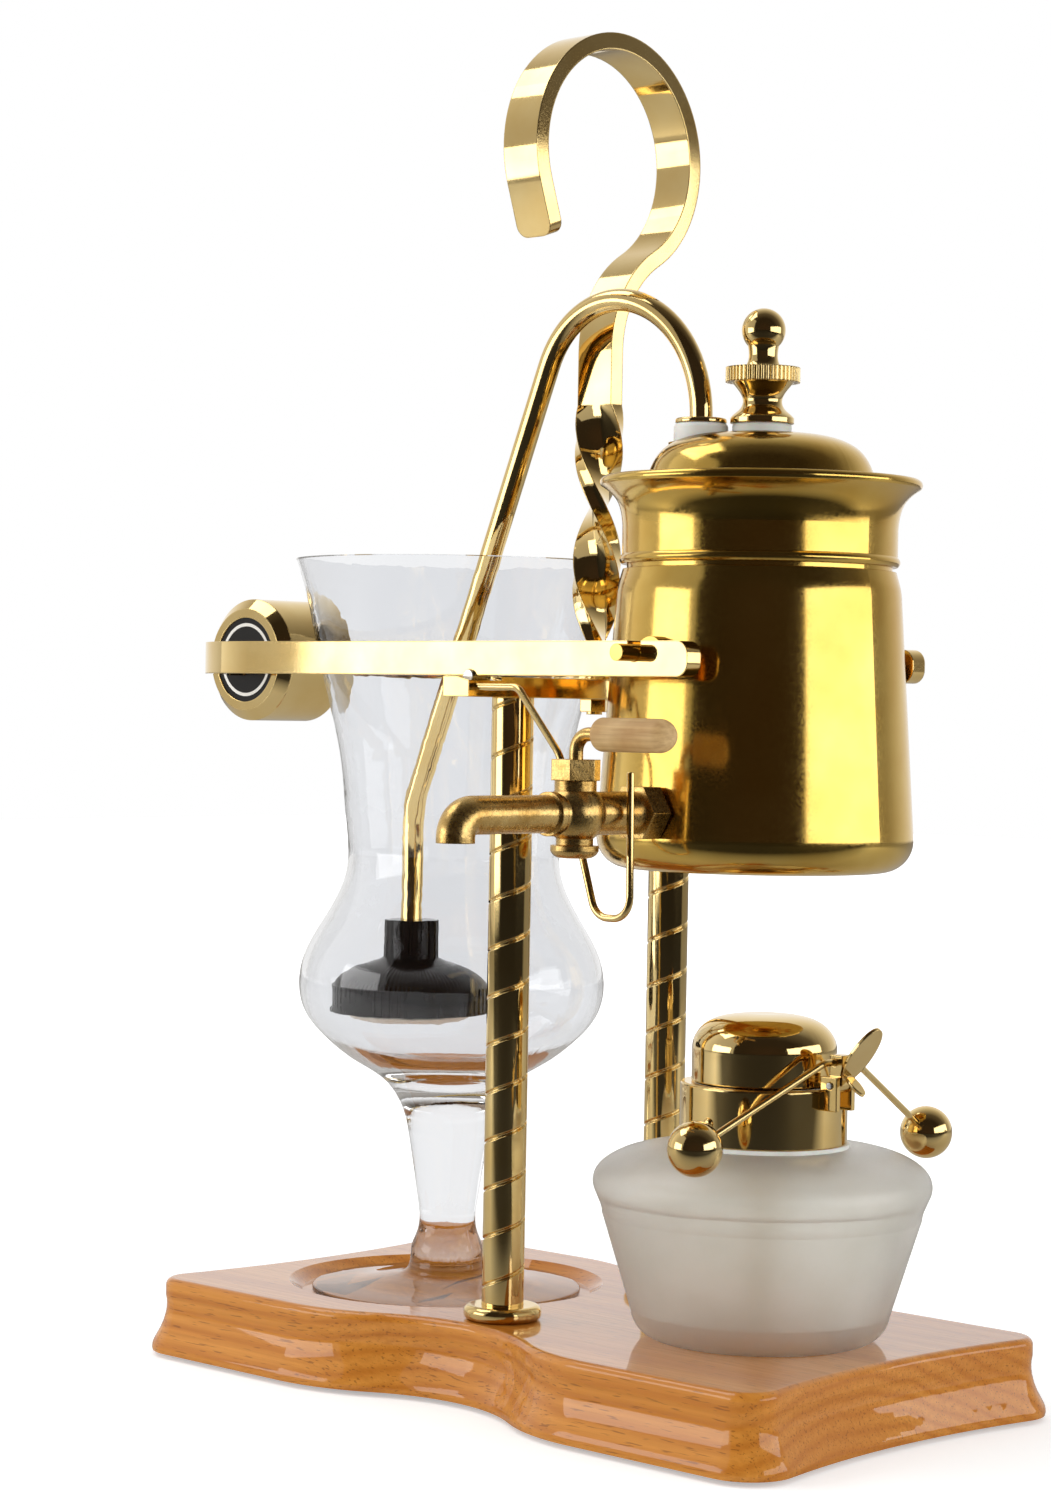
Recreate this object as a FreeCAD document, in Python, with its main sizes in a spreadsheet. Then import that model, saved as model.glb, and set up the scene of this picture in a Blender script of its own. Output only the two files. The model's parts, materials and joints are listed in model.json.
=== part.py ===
import FreeCAD
import Part
import math
import os
import re

import Sketcher

# Balance siphon coffee maker: a kettle and a counterweight hang on a tilting beam, a bent tube
# carries the water into a stemmed glass, and a spirit lamp stands under the kettle.
# Origin: middle of the wooden base on the table. +X towards the kettle, -Y towards the tap, +Z up.
# All lengths are millimetres, all angles degrees.

SIZES = {
    # Wooden base and its feet
    "base_length": 255.0,
    "base_width": 138.0,
    "base_thickness": 23.5,
    "base_flare": 4.2,
    "base_edge_round": 2.4,
    "base_corner_radius": 10.0,
    "base_end_hollow": 5.5,
    "waist_depth": 17.5,
    "waist_radius": 60.0,
    "bulge_radius": 58.0,
    "recess_radius": 51.3,
    "recess_floor_radius": 47.0,
    "recess_depth": 3.2,
    "foot_height": 1.5,
    "foot_radius": 7.0,
    "foot_inset_x": 26.0,
    "foot_inset_y": 8.0,
    # Posts, crossbar and their screws
    "post_spacing": 73.2,
    "post_radius": 6.5,
    "post_height": 190.6,
    "groove_pitch": 14.7,
    "groove_radius": 0.55,
    "flange_radius": 12.0,
    "flange_height": 4.6,
    "bolt_radius": 2.5,
    "bolt_grip": 14.0,
    "bolt_head_radius": 4.6,
    "bolt_head_height": 3.0,
    "bolt_head_sink": 4.5,
    "crossbar_overhang": 6.0,
    "crossbar_width": 11.0,
    "crossbar_height": 6.2,
    "crossbar_relief": 1.2,
    "screw_radius": 2.0,
    "screw_length": 16.0,
    "screw_head_radius": 3.8,
    "screw_head_height": 2.2,
    "fit_clearance": 0.05,
    # Hook handle of flat bar
    "strip_width": 14.2,
    "strip_thickness": 5.2,
    "twist_length": 86.0,
    "ring_rise": 163.7,
    "ring_radius": 35.2,
    "ring_exit_angle": 60.0,
    "ring_tip_angle": 199.0,
    "ring_tip_length": 17.0,
    "ring_tip_round": 4.0,
    "stud_radius": 2.5,
    "stud_length": 11.0,
    "handle_nut_flats": 8.0,
    "handle_nut_height": 4.0,
    # Balance beam, pivots and counterweight
    "beam_side_gap": 6.9,
    "beam_thickness": 6.0,
    "beam_height": 10.4,
    "beam_gap": 0.3,
    "beam_reach": 87.0,
    "beam_bend_x": 102.0,
    "beam_end_round": 4.2,
    "pivot_radius": 2.0,
    "pivot_length": 8.0,
    "weight_x": 148.5,
    "weight_radius": 20.7,
    "weight_length": 31.0,
    "weight_chamfer": 3.4,
    "weight_slot_width": 9.4,
    "disc_radius": 14.3,
    "disc_thickness": 0.8,
    "disc_recess": 1.2,
    "grub_radius": 2.5,
    "grub_length": 12.0,
    # Kettle
    "kettle_x": 66.5,
    "kettle_hang": 63.8,
    "kettle_foot_radius": 48.2,
    "kettle_body_radius": 42.6,
    "kettle_top_radius": 41.0,
    "kettle_side_height": 84.0,
    "kettle_height": 89.6,
    "kettle_wall": 1.2,
    "kettle_corner": 9.5,
    "shoulder_round_share": 0.3466633,
    "seam_radius": 39.8,
    "seam_height": 1.5,
    "bead_rise": 0.75,
    "bead_height": 2.9,
    "bead_peak": 1.2,
    "collar_radius": 41.3,
    "collar_height": 27.6,
    "brim_radius": 48.3,
    "lid_ledge": 21.1,
    "lid_radius": 42.9,
    "lid_height": 20.1,
    "lid_flat_radius": 12.0,
    "trunnion_lift": 6.9,
    "trunnion_radius": 2.5,
    "trunnion_end": 7.5,
    "trunnion_boss_radius": 5.0,
    "trunnion_boss_length": 6.0,
    # Stopper, siphon tube and filter
    "stopper_x": 51.0,
    "stopper_y": 10.0,
    "stopper_radius": 8.2,
    "stopper_sink": 2.8,
    "stopper_height": 6.0,
    "stopper_seat_rim": 1.6,
    "stopper_plug_radius": 5.2,
    "stopper_plug_depth": 8.0,
    "washer_height": 1.4,
    "tube_radius": 3.5,
    "tube_wall": 0.7,
    "tube_shoulder_radius": 38.0,
    "tube_shoulder_turn": 74.5,
    "tube_arch_radius": 30.0,
    "tube_arch_rise": 5.0,
    "tube_dip": 122.0,
    "tube_lean": 22.4,
    "tube_drop_x": 70.4,
    "tube_elbow_radius": 30.0,
    "filter_nut_radius": 8.8,
    "filter_nut_height": 12.5,
    "filter_nut_ribs": 18,
    "filter_radius": 25.8,
    "filter_top_height": 9.0,
    "filter_rim_height": 8.0,
    "filter_rim_ribs": 64,
    "filter_rib_depth": 0.5,
    "filter_cloth_height": 2.6,
    "filter_level": 142.6,
    # Filler cap
    "gasket_radius": 8.9,
    "gasket_height": 3.0,
    "cap_stud_radius": 4.4,
    "cap_stud_length": 9.0,
    "cap_flange_radius": 9.6,
    "cap_waist_radius": 5.9,
    "cap_knurl_radius": 11.2,
    "cap_knurl_height": 4.5,
    "cap_knurl_count": 48,
    "cap_knurl_level": 12.3,
    "cap_knurl_depth": 0.5,
    "cap_ball_radius": 6.6,
    "cap_ball_level": 28.0,
    # Tap
    "tap_level": 17.6,
    "tap_nut_flats": 15.0,
    "tap_nut_length": 7.4,
    "tap_shank_radius": 4.9,
    "tap_back_nut_flats": 14.0,
    "tap_back_nut_length": 4.0,
    "tap_back_gap": 1.5,
    "tap_back_collar_radius": 6.1,
    "tap_back_collar_length": 2.4,
    "tap_neck_radius": 6.2,
    "tap_ball_y": 79.0,
    "tap_ball_radius": 8.8,
    "tap_bore_radius": 2.6,
    "tap_ring_y": 88.0,
    "tap_ring_radius": 6.3,
    "spout_radius": 5.4,
    "spout_bore_radius": 3.9,
    "spout_reach": 126.7,
    "spout_bend_radius": 6.0,
    "spout_drop": 7.6,
    "tap_plug_radius": 4.0,
    "tap_boss_radius": 6.0,
    "tap_boss_rise": 9.4,
    "gland_flats": 12.6,
    "gland_height": 6.0,
    "tap_cap_radius": 6.9,
    "tap_cap_height": 3.6,
    "lever_radius": 2.0,
    "lever_rise": 7.2,
    "lever_bend_radius": 5.0,
    "grip_start": 8.5,
    "grip_length": 28.0,
    "grip_radius": 4.8,
    "grip_bore_depth": 14.0,
    # Latch wire
    "latch_radius": 1.1,
    "latch_gap": 3.0,
    "latch_hook_y": 64.8,
    "latch_head_radius": 2.0,
    "latch_head_height": 1.0,
    "latch_head_gap": 0.3,
    "latch_knee_x": 23.0,
    "latch_shin_x": 47.0,
    "latch_shin_drop": 20.0,
    "latch_heel_x": 62.0,
    "latch_toe_x": 75.2,
    "latch_depth": 66.0,
    "latch_tip_depth": 24.0,
    "latch_knee_bend": 6.0,
    "latch_shin_bend": 12.0,
    "latch_loop_bend": 6.2,
    # Stemmed glass
    "glass_x": 61.4,
    "glass_height": 238.0,
    "glass_wall": 1.9,
    "glass_rim_radius": 53.0,
    "glass_waist_radius": 34.6,
    "glass_bulb_radius": 49.8,
    "glass_stem_radius": 9.8,
    "glass_foot_radius": 43.8,
    # Spirit lamp
    "lamp_x": 72.0,
    "lamp_height": 58.0,
    "lamp_radius": 50.8,
    "lamp_foot_radius": 38.6,
    "lamp_wall": 2.6,
    "lamp_neck_radius": 23.9,
    "lamp_neck_height": 7.6,
    "lamp_ring_height": 1.2,
    "lamp_ring_radius": 25.9,
    "burner_radius": 25.1,
    "burner_wall": 1.0,
    "burner_height": 17.6,
    "rivet_radius": 1.7,
    "rivet_level": 7.0,
    "wick_radius": 3.4,
    "wick_tube_wall": 1.1,
    "wick_tube_rise": 4.0,
    "wick_tube_depth": 30.0,
    "wick_rise": 8.0,
    # Snuffer cap, hinge and weights
    "snuffer_radius": 21.7,
    "snuffer_wall": 1.0,
    "snuffer_height": 20.2,
    "snuffer_gap": 0.3,
    "hinge_reach": 28.6,
    "hinge_rise": 1.6,
    "hinge_pin_radius": 1.0,
    "knuckle_radius": 2.3,
    "knuckle_width": 4.6,
    "ear_thickness": 1.7,
    "ear_gap": 0.3,
    "ear_drop": 7.5,
    "lug_rise": 9.0,
    "lug_reach": 3.0,
    "rod_radius": 1.05,
    "rod_rise": 6.8,
    "rod_span": 14.0,
    "ball_radius": 8.0,
    "ball_span": 108.0,
    "ball_drop_near": 15.3,
    "ball_drop_far": 18.9,
    "ball_inset": 8.6,
    "leaf_length": 20.0,
    "leaf_width": 11.0,
    "leaf_thickness": 1.0,
    "leaf_angle": 54.0,
    "tail_length": 8.5,
    "tail_width": 4.0,
    "tail_angle": -41.0,
}

# Heights and places that follow from the sizes above
LEVELS = {
    "base_top": "foot_height + base_thickness",
    "recess_floor": "base_top - recess_depth",
    "post_y": "post_spacing / 2",
    "post_top": "base_top + post_height",
    "crossbar_mid": "post_top + crossbar_height / 2",
    "crossbar_top": "post_top + crossbar_height",
    "beam_half_gap": "kettle_body_radius + beam_side_gap",
    "beam_bottom": "crossbar_top + beam_gap",
    "beam_mid": "beam_bottom + beam_height / 2",
    "beam_y": "beam_half_gap + beam_thickness / 2",
    "trunnion_z": "beam_bottom + trunnion_lift",
    "kettle_bottom": "trunnion_z - kettle_hang",
    "collar_bottom": "kettle_bottom + kettle_height",
    "lid_bottom": "collar_bottom + lid_ledge",
    "lid_top": "lid_bottom + lid_height",
    "stopper_seat": "lid_top - stopper_sink",
    "stopper_top": "stopper_seat + stopper_height",
    "washer_top": "stopper_top + washer_height",
    "cap_bottom": "lid_top + gasket_height",
    "tap_z": "kettle_bottom + tap_level",
    "tap_nut_low": "tap_level - tap_nut_flats / 1.7",
    "kettle_taper": "(kettle_foot_radius - kettle_body_radius) / kettle_side_height",
    "shoulder_run": "kettle_body_radius - kettle_top_radius",
    "shoulder_rise": "kettle_height - kettle_side_height",
    "shoulder_length": "sqrt(shoulder_run ^ 2 + shoulder_rise ^ 2)",
    "shoulder_bend": "atan(shoulder_run / shoulder_rise) - atan(kettle_taper)",
    "shoulder_rounding": "shoulder_round_share * shoulder_length / tan(shoulder_bend / 2)",
    "tap_wall_y": "kettle_foot_radius - kettle_taper * tap_nut_low",
    "tap_nut_front": "tap_wall_y + tap_nut_length",
    "tap_boss_top": "tap_z + tap_boss_rise",
    "gland_top": "tap_boss_top + gland_height",
    "lever_z": "gland_top + lever_rise",
    "lamp_shoulder": "base_top + lamp_height",
    "burner_bottom": "lamp_shoulder + lamp_ring_height",
    "burner_top": "burner_bottom + burner_height",
    "snuffer_bottom": "burner_top + snuffer_gap",
    "hinge_x": "lamp_x + hinge_reach",
    "hinge_z": "burner_top + hinge_rise",
    "filter_nut_bottom": "filter_level - filter_nut_height",
    "filter_rim_top": "filter_nut_bottom - filter_top_height",
    "filter_rim_bottom": "filter_rim_top - filter_rim_height",
    "crossbar_half_width": "crossbar_width / 2",
    "crossbar_half_length": "beam_half_gap + beam_thickness + crossbar_overhang",
    "crossbar_length": "2 * crossbar_half_length",
    "latch_y": "beam_half_gap + beam_thickness + latch_gap",
    "trunnion_reach": "beam_half_gap + beam_thickness + trunnion_end",
    "trunnion_boss_reach": "kettle_body_radius + trunnion_boss_length",
    "pivot_inner": "beam_y - pivot_length / 2",
    "pivot_outer": "beam_y + pivot_length / 2",
    "screw_socket": "screw_head_height / 2",
    "twist_top": "crossbar_top + twist_length",
    "bar_end_x": "beam_bend_x + beam_y",
    "slot_x": "beam_bend_x + beam_half_gap + beam_thickness + 0.4",
    "weight_half": "weight_length / 2",
    "knuckle_half": "knuckle_width / 2",
    "ear_outer": "knuckle_half + ear_gap + ear_thickness",
    "rod_half": "rod_span / 2",
    "ball_half": "ball_span / 2",
}

doc = FreeCAD.newDocument("BalanceSiphon")
Vector = FreeCAD.Vector
nodes = []


def write_sheet(name, cells, prefix):
    """One row per named value: the name beside it, the value with that name as its alias."""
    sheet = doc.addObject("Spreadsheet::Sheet", name)
    for row, (alias, value) in enumerate(cells.items(), start=1):
        sheet.set(f"A{row}", alias)
        sheet.set(f"B{row}", prefix + bound(str(value)))
        sheet.setAlias(f"B{row}", alias)
    return sheet


def bound(text):
    """An expression in plain value names, with each name tied to its sheet."""
    def sheet_name(match):
        word = match.group()
        if word in SIZES:
            return "Sizes." + word
        if word in LEVELS:
            return "Levels." + word
        return word
    return re.sub(r"[a-z][a-z_]+", sheet_name, text)


sizes = write_sheet("Sizes", SIZES, "")
doc.recompute()
levels = write_sheet("Levels", LEVELS, "=")
doc.recompute()


def amount(text):
    """The number that a sum of value names and plain numbers comes to."""
    total = 0.0
    sign = 1.0
    for token in str(text).split():
        if token in ("+", "-"):
            sign = 1.0 if token == "+" else -1.0
        elif token in SIZES:
            total += sign * float(sizes.get(token))
        elif token in LEVELS:
            total += sign * float(levels.get(token))
        else:
            total += sign * float(token)
    return total


def vector(x, y, z):
    return FreeCAD.Vector(amount(x), amount(y), amount(z))


AXES = {
    "Z": FreeCAD.Rotation(),
    "X": FreeCAD.Rotation(FreeCAD.Vector(0, 1, 0), 90),
    "Y": FreeCAD.Rotation(FreeCAD.Vector(1, 0, 0), -90),
    "-Y": FreeCAD.Rotation(FreeCAD.Vector(1, 0, 0), 90),
    "-X": FreeCAD.Rotation(FreeCAD.Vector(0, 1, 0), -90),
}


def place(item, x, y, z, axis="Z"):
    """Sets an item down at a bound place, its own +Z turned to the named axis."""
    item.Placement = FreeCAD.Placement(vector(x, y, z), AXES[axis])
    for direction, text in zip("xyz", (x, y, z)):
        item.setExpression(f"Placement.Base.{direction}", bound(str(text)))
    return item


def primitive(kind, settings):
    item = doc.addObject("Part::" + kind, kind)
    for name, text in settings.items():
        item.setExpression(name, bound(str(text)))
    return item


def cylinder(radius, height, x, y, z, axis="Z"):
    return place(primitive("Cylinder", {"Radius": radius, "Height": height}), x, y, z, axis)


def cone(radius_low, radius_high, height, x, y, z, axis="Z"):
    settings = {"Radius1": radius_low, "Radius2": radius_high, "Height": height}
    return place(primitive("Cone", settings), x, y, z, axis)


def ball(radius, x, y, z):
    return place(primitive("Sphere", {"Radius": radius}), x, y, z)


def box(length, width, height, x, y, z):
    return place(primitive("Box", {"Length": length, "Width": width, "Height": height}), x, y, z)


def hexagon(flats, height, x, y, z, axis="Z"):
    """A hexagonal prism by its width across flats."""
    settings = {"Circumradius": f"({flats}) / sqrt(3)", "Height": height}
    item = primitive("Prism", settings)
    item.Polygon = 6
    return place(item, x, y, z, axis)


def fuse(*items):
    joined = doc.addObject("Part::MultiFuse", "Fuse")
    joined.Shapes = list(items)
    return joined


def cut(base, *tools):
    result = doc.addObject("Part::Cut", "Cut")
    result.Base = base
    result.Tool = tools[0] if len(tools) == 1 else fuse(*tools)
    return result


def group(*items):
    """Separate solids that share one node."""
    together = doc.addObject("Part::Compound", "Group")
    together.Links = list(items)
    return together


def shaped(shape):
    item = doc.addObject("Part::Feature", "Shape")
    item.Shape = shape
    return item


def node(label, item):
    item.Label = label
    nodes.append(item)
    return item


def turned(profile, x, y, z, axis="Z"):
    """A lathe-turned body: straight-sided (radius, height) profile revolved about its own axis."""
    body = doc.addObject("PartDesign::Body", "Turned")
    sketch = body.newObject("Sketcher::SketchObject", "Profile")
    plane = next(f for f in body.Origin.OriginFeatures if f.Role == "XZ_Plane")
    sketch.AttachmentSupport = [(plane, "")]
    sketch.MapMode = "FlatFace"
    points = [FreeCAD.Vector(amount(r), amount(h), 0) for r, h in profile]
    count = len(points)
    for index in range(count):
        sketch.addGeometry(Part.LineSegment(points[index], points[(index + 1) % count]), False)
    for index in range(count):
        sketch.addConstraint(Sketcher.Constraint("Coincident", index, 2, (index + 1) % count, 1))
    for index, (radius, height) in enumerate(profile):
        for kind, text, own_axis in (("DistanceX", radius, -2), ("DistanceY", height, -1)):
            if text == "0":
                sketch.addConstraint(Sketcher.Constraint("PointOnObject", index, 1, own_axis))
                continue
            row = sketch.addConstraint(Sketcher.Constraint(kind, -1, 1, index, 1, amount(text)))
            sketch.setExpression(f"Constraints[{row}]", bound(text))
    revolution = body.newObject("PartDesign::Revolution", "Revolution")
    revolution.Profile = sketch
    revolution.ReferenceAxis = (sketch, ["V_Axis"])
    revolution.Angle = 360
    doc.recompute()
    return place(body, x, y, z, axis)


def rounded(body, corners):
    """Rounds the circular edges of a turned body at the given (radius, height, rounding)."""
    for radius, height, rounding in corners:
        base = body.Tip
        names = []
        for number, edge in enumerate(base.Shape.Edges, start=1):
            if not isinstance(edge.Curve, Part.Circle):
                continue
            same_radius = abs(edge.Curve.Radius - amount(radius)) < 1e-4
            if same_radius and abs(edge.Curve.Center.z - amount(height)) < 1e-4:
                names.append(f"Edge{number}")
        fillet = body.newObject("PartDesign::Fillet", "Rounding")
        fillet.Base = (base, names)
        fillet.setExpression("Radius", bound(rounding))
        doc.recompute()
    return body


def spun(runs, x, y, z, axis="Z"):
    """A spun or blown form: runs of (radius, height) points, two for a line, more for a curve."""
    edges = []
    for run in runs:
        points = [FreeCAD.Vector(amount(r), 0, amount(h)) for r, h in run]
        if len(points) == 2:
            edges.append(Part.makeLine(points[0], points[1]))
        else:
            curve = Part.BSplineCurve()
            curve.interpolate(points)
            edges.append(curve.toShape())
    first = edges[0].Vertexes[0].Point
    last = FreeCAD.Vector(amount(runs[-1][-1][0]), 0, amount(runs[-1][-1][1]))
    if first.distanceToPoint(last) > 1e-6:
        edges.append(Part.makeLine(last, first))
    face = Part.Face(Part.Wire(edges))
    solid = face.revolve(FreeCAD.Vector(), FreeCAD.Vector(0, 0, 1), 360)
    return place(shaped(solid), x, y, z, axis)


def bent_path(points, radii):
    """A wire of straight runs joined by tangent arcs of the given radii."""
    edges = []
    start = points[0]
    for before, corner, after, radius in zip(points, points[1:], points[2:], radii):
        back = (before - corner).normalize()
        ahead = (after - corner).normalize()
        half_turn = (math.pi - back.getAngle(ahead)) / 2
        reach = radius * math.tan(half_turn)
        arc_start = corner + back * reach
        arc_end = corner + ahead * reach
        inward = (back + ahead).normalize()
        arc_mid = corner + inward * (radius / math.cos(half_turn) - radius)
        if start.distanceToPoint(arc_start) > 1e-6:
            edges.append(Part.makeLine(start, arc_start))
        edges.append(Part.Arc(arc_start, arc_mid, arc_end).toShape())
        start = arc_end
    edges.append(Part.makeLine(start, points[-1]))
    return Part.Wire(edges)


def bent_rod(points, radii, radius):
    """A round rod along straight runs and bends."""
    path = bent_path(points, radii)
    circle = Part.Circle(points[0], points[1] - points[0], radius)
    rod = path.makePipeShell([Part.Wire(circle.toShape())], True, False)
    return rod


def toothed_disc(radius, depth, height, count):
    """A disc with a ribbed edge: one straight-sided notch between each pair of ribs."""
    points = []
    for tooth in range(count):
        for share, reach in ((0.0, radius), (0.5, radius), (0.62, radius - depth), (0.88, radius - depth)):
            angle = 2 * math.pi * (tooth + share) / count
            points.append(FreeCAD.Vector(reach * math.cos(angle), reach * math.sin(angle), 0))
    outline = Part.makePolygon(points + points[:1])
    return Part.Face(outline).extrude(FreeCAD.Vector(0, 0, height))


def base_outline(offset, height):
    """Plan of the base: hollow ends, round corners and a waist in each long side."""
    half_length = amount("base_length") / 2
    half_width = amount("base_width") / 2
    corner = amount("base_corner_radius")
    hollow = amount("base_end_hollow")
    waist = amount("waist_radius")
    bulge = amount("bulge_radius")
    corner_x = half_length - corner
    corner_y = half_width - corner
    end_radius = (corner_y ** 2 + hollow ** 2) / (2 * hollow) - corner
    end_x = half_length - hollow + end_radius
    reach = waist + bulge
    drop = reach - amount("waist_depth")
    bulge_x = math.sqrt(reach ** 2 - drop ** 2)
    bulge_y = half_width - bulge
    waist_y = bulge_y + drop
    # Each round stretch: centre, radius, and the directions where it starts and ends
    end_tilt = math.atan2(corner_y, end_x - corner_x)
    waist_tilt = math.atan2(drop, bulge_x)
    quarter = [
        ((end_x, 0.0), end_radius - offset, math.pi, math.pi - end_tilt),
        ((corner_x, corner_y), corner + offset, -end_tilt, math.pi / 2),
        ((bulge_x, bulge_y), bulge + offset, math.pi / 2, math.pi - waist_tilt),
        ((0.0, waist_y), waist - offset, -waist_tilt, -math.pi / 2),
    ]

    def at(centre, radius, angle, flip_x, flip_y):
        x = centre[0] + radius * math.cos(angle)
        y = centre[1] + radius * math.sin(angle)
        return FreeCAD.Vector(flip_x * x, flip_y * y, height)

    edges = []
    for flip_x, flip_y, forward in ((1, 1, True), (-1, 1, False), (-1, -1, True), (1, -1, False)):
        stretches = quarter if forward else quarter[::-1]
        last = None
        for centre, radius, begin, finish in stretches:
            angles = (begin, (begin + finish) / 2, finish)
            if not forward:
                angles = angles[::-1]
            points = [at(centre, radius, angle, flip_x, flip_y) for angle in angles]
            if last is not None and last.distanceToPoint(points[0]) > 1e-6:
                edges.append(Part.makeLine(last, points[0]))
            edges.append(Part.Arc(*points).toShape())
            last = points[-1]
    return Part.Wire(edges)


def make_base():
    """Board with a rounded top edge, a cove all round and a flared foot, cut for glass and posts."""
    thick = amount("base_thickness")
    flare = amount("base_flare")
    edge = amount("base_edge_round")
    # Cove of the side: share of the thickness, and how far the outline stands out there
    cove = [(0.0, 0.95 * flare), (0.06, flare), (0.15, 0.86 * flare), (0.30, 0.40 * flare),
            (0.46, 0.06 * flare), (0.60, -0.08 * flare), (0.76, 0.0)]
    sections = [base_outline(offset, share * thick) for share, offset in cove]
    foot = Part.makeLoft(sections, True, False)
    level = cove[-1][0] * thick
    top = Part.Face(base_outline(0.0, level)).extrude(Vector(0, 0, thick - level))
    rim = [e for e in top.Edges if min(v.Z for v in e.Vertexes) > thick - 1e-6]
    top = top.makeFillet(edge, rim)
    board = place(shaped(foot.fuse(top)), "0", "0", "foot_height")
    recess = cone("recess_floor_radius", "recess_radius", "recess_depth",
                  "- glass_x", "0", "recess_floor")
    tools = [recess]
    for side_sign in ("", "- "):
        y = side_sign + "post_y"
        tools.append(cylinder("bolt_radius + fit_clearance", "base_thickness", "0", y, "foot_height"))
        tools.append(cylinder("bolt_head_radius + fit_clearance", "bolt_head_sink", "0", y, "foot_height"))
    node("base_board", cut(board, *tools))
    feet = []
    for x in ("base_length / 2 - foot_inset_x", "foot_inset_x - base_length / 2"):
        for y in ("base_width / 2 - foot_inset_y", "foot_inset_y - base_width / 2"):
            foot = primitive("Cone", {"Radius1": "foot_radius - foot_height / 4",
                                      "Radius2": "foot_radius", "Height": "foot_height"})
            foot.setExpression("Placement.Base.x", bound(x))
            foot.setExpression("Placement.Base.y", bound(y))
            feet.append(foot)
    node("base_feet", group(*feet))


def make_posts():
    """Two posts with a fine spiral groove, their foot rings, and the bolts that hold them down."""
    radius = amount("post_radius")
    height = amount("post_height")
    groove = amount("groove_radius")
    helix = Part.makeHelix(amount("groove_pitch"), height - 2 * groove, radius)
    helix.translate(FreeCAD.Vector(0, 0, groove))
    start = helix.Edges[0]
    at_start = start.FirstParameter
    section = Part.Circle(start.valueAt(at_start), start.tangentAt(at_start), groove)
    thread = Part.Wire(helix.Edges).makePipeShell([Part.Wire(section.toShape())], True, True)
    shaft = Part.makeCylinder(radius, height).cut(thread)
    clear = amount("bolt_radius + fit_clearance")
    shaft = shaft.cut(Part.makeCylinder(clear, amount("bolt_grip") + 1))
    top_hole = Part.makeCylinder(amount("screw_radius + fit_clearance"), amount("screw_length"))
    top_hole.translate(FreeCAD.Vector(0, 0, height - amount("screw_length")))
    shaft = shaft.cut(top_hole)
    flanges = []
    bolts = []
    for name, y in (("front_post", "- post_y"), ("rear_post", "post_y")):
        node(name, place(shaped(shaft.copy()), "0", y, "base_top"))
        ring = turned([("post_radius + fit_clearance", "0"), ("flange_radius", "0"),
                       ("flange_radius", "flange_height"),
                       ("post_radius + fit_clearance", "flange_height")], "0", y, "base_top")
        flanges.append(rounded(ring, [("flange_radius", "flange_height", "flange_height * 0.45"),
                                      ("flange_radius", "0", "flange_height * 0.4")]))
        head = cylinder("bolt_head_radius", "bolt_head_height", "0", y,
                        "foot_height + bolt_head_sink - bolt_head_height")
        stem = cylinder("bolt_radius", "base_thickness - bolt_head_sink + bolt_grip", "0", y,
                        "foot_height + bolt_head_sink")
        bolts.append(fuse(head, stem))
    node("post_foot_rings", group(*flanges))
    node("post_bolts", group(*bolts))


def make_crossbar():
    """Bar across the posts, with its screws, the pivot pins and the hole of the latch wire."""
    bar = box("crossbar_width", "crossbar_length", "crossbar_height",
              "- crossbar_half_width", "- crossbar_half_length", "post_top")
    # Under each beam arm the top face falls away on the kettle side, so that the beam can tip
    half = amount("crossbar_half_width")
    top = amount("crossbar_top")
    land = amount("beam_half_gap") - 2
    corners = [Vector(0, land, top), Vector(half, land, top),
               Vector(half, land, top - amount("crossbar_relief"))]
    slope = Part.Face(Part.makePolygon(corners + corners[:1]))
    slope = slope.extrude(Vector(0, amount("crossbar_half_length") - land, 0))
    tools = [shaped(slope), shaped(slope.mirror(Vector(), Vector(0, 1, 0))),
             cylinder("latch_radius + fit_clearance", "crossbar_width + 2",
                      "- crossbar_half_width - 1", "- latch_y", "crossbar_mid", "X"),
             cylinder("stud_radius + fit_clearance", "crossbar_height", "0", "0", "post_top")]
    screws = []
    pins = []
    for sign, pin_start in (("", "pivot_inner"), ("- ", "- pivot_outer")):
        y = sign + "post_y"
        seat = "crossbar_top - screw_head_height"
        tools.append(cylinder("screw_radius + fit_clearance", "crossbar_height", "0", y, "post_top"))
        tools.append(cylinder("screw_head_radius + fit_clearance", "screw_head_height", "0", y, seat))
        head = cylinder("screw_head_radius", "screw_head_height", "0", y, seat)
        driver = hexagon("screw_radius * 2", "screw_head_height / 2", "0", y,
                         "crossbar_top - screw_socket")
        stem = cylinder("screw_radius", "screw_length", "0", y, seat + " - screw_length")
        screws.append(cut(fuse(head, stem), driver))
        pins.append(cylinder("pivot_radius", "pivot_length", "0", pin_start, "crossbar_top", "Y"))
        tools.append(cylinder("pivot_radius + fit_clearance", "pivot_length",
                              "0", pin_start, "crossbar_top", "Y"))
    node("crossbar", cut(bar, *tools))
    node("crossbar_screws", group(*screws))
    node("pivot_pins", group(*pins))


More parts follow.
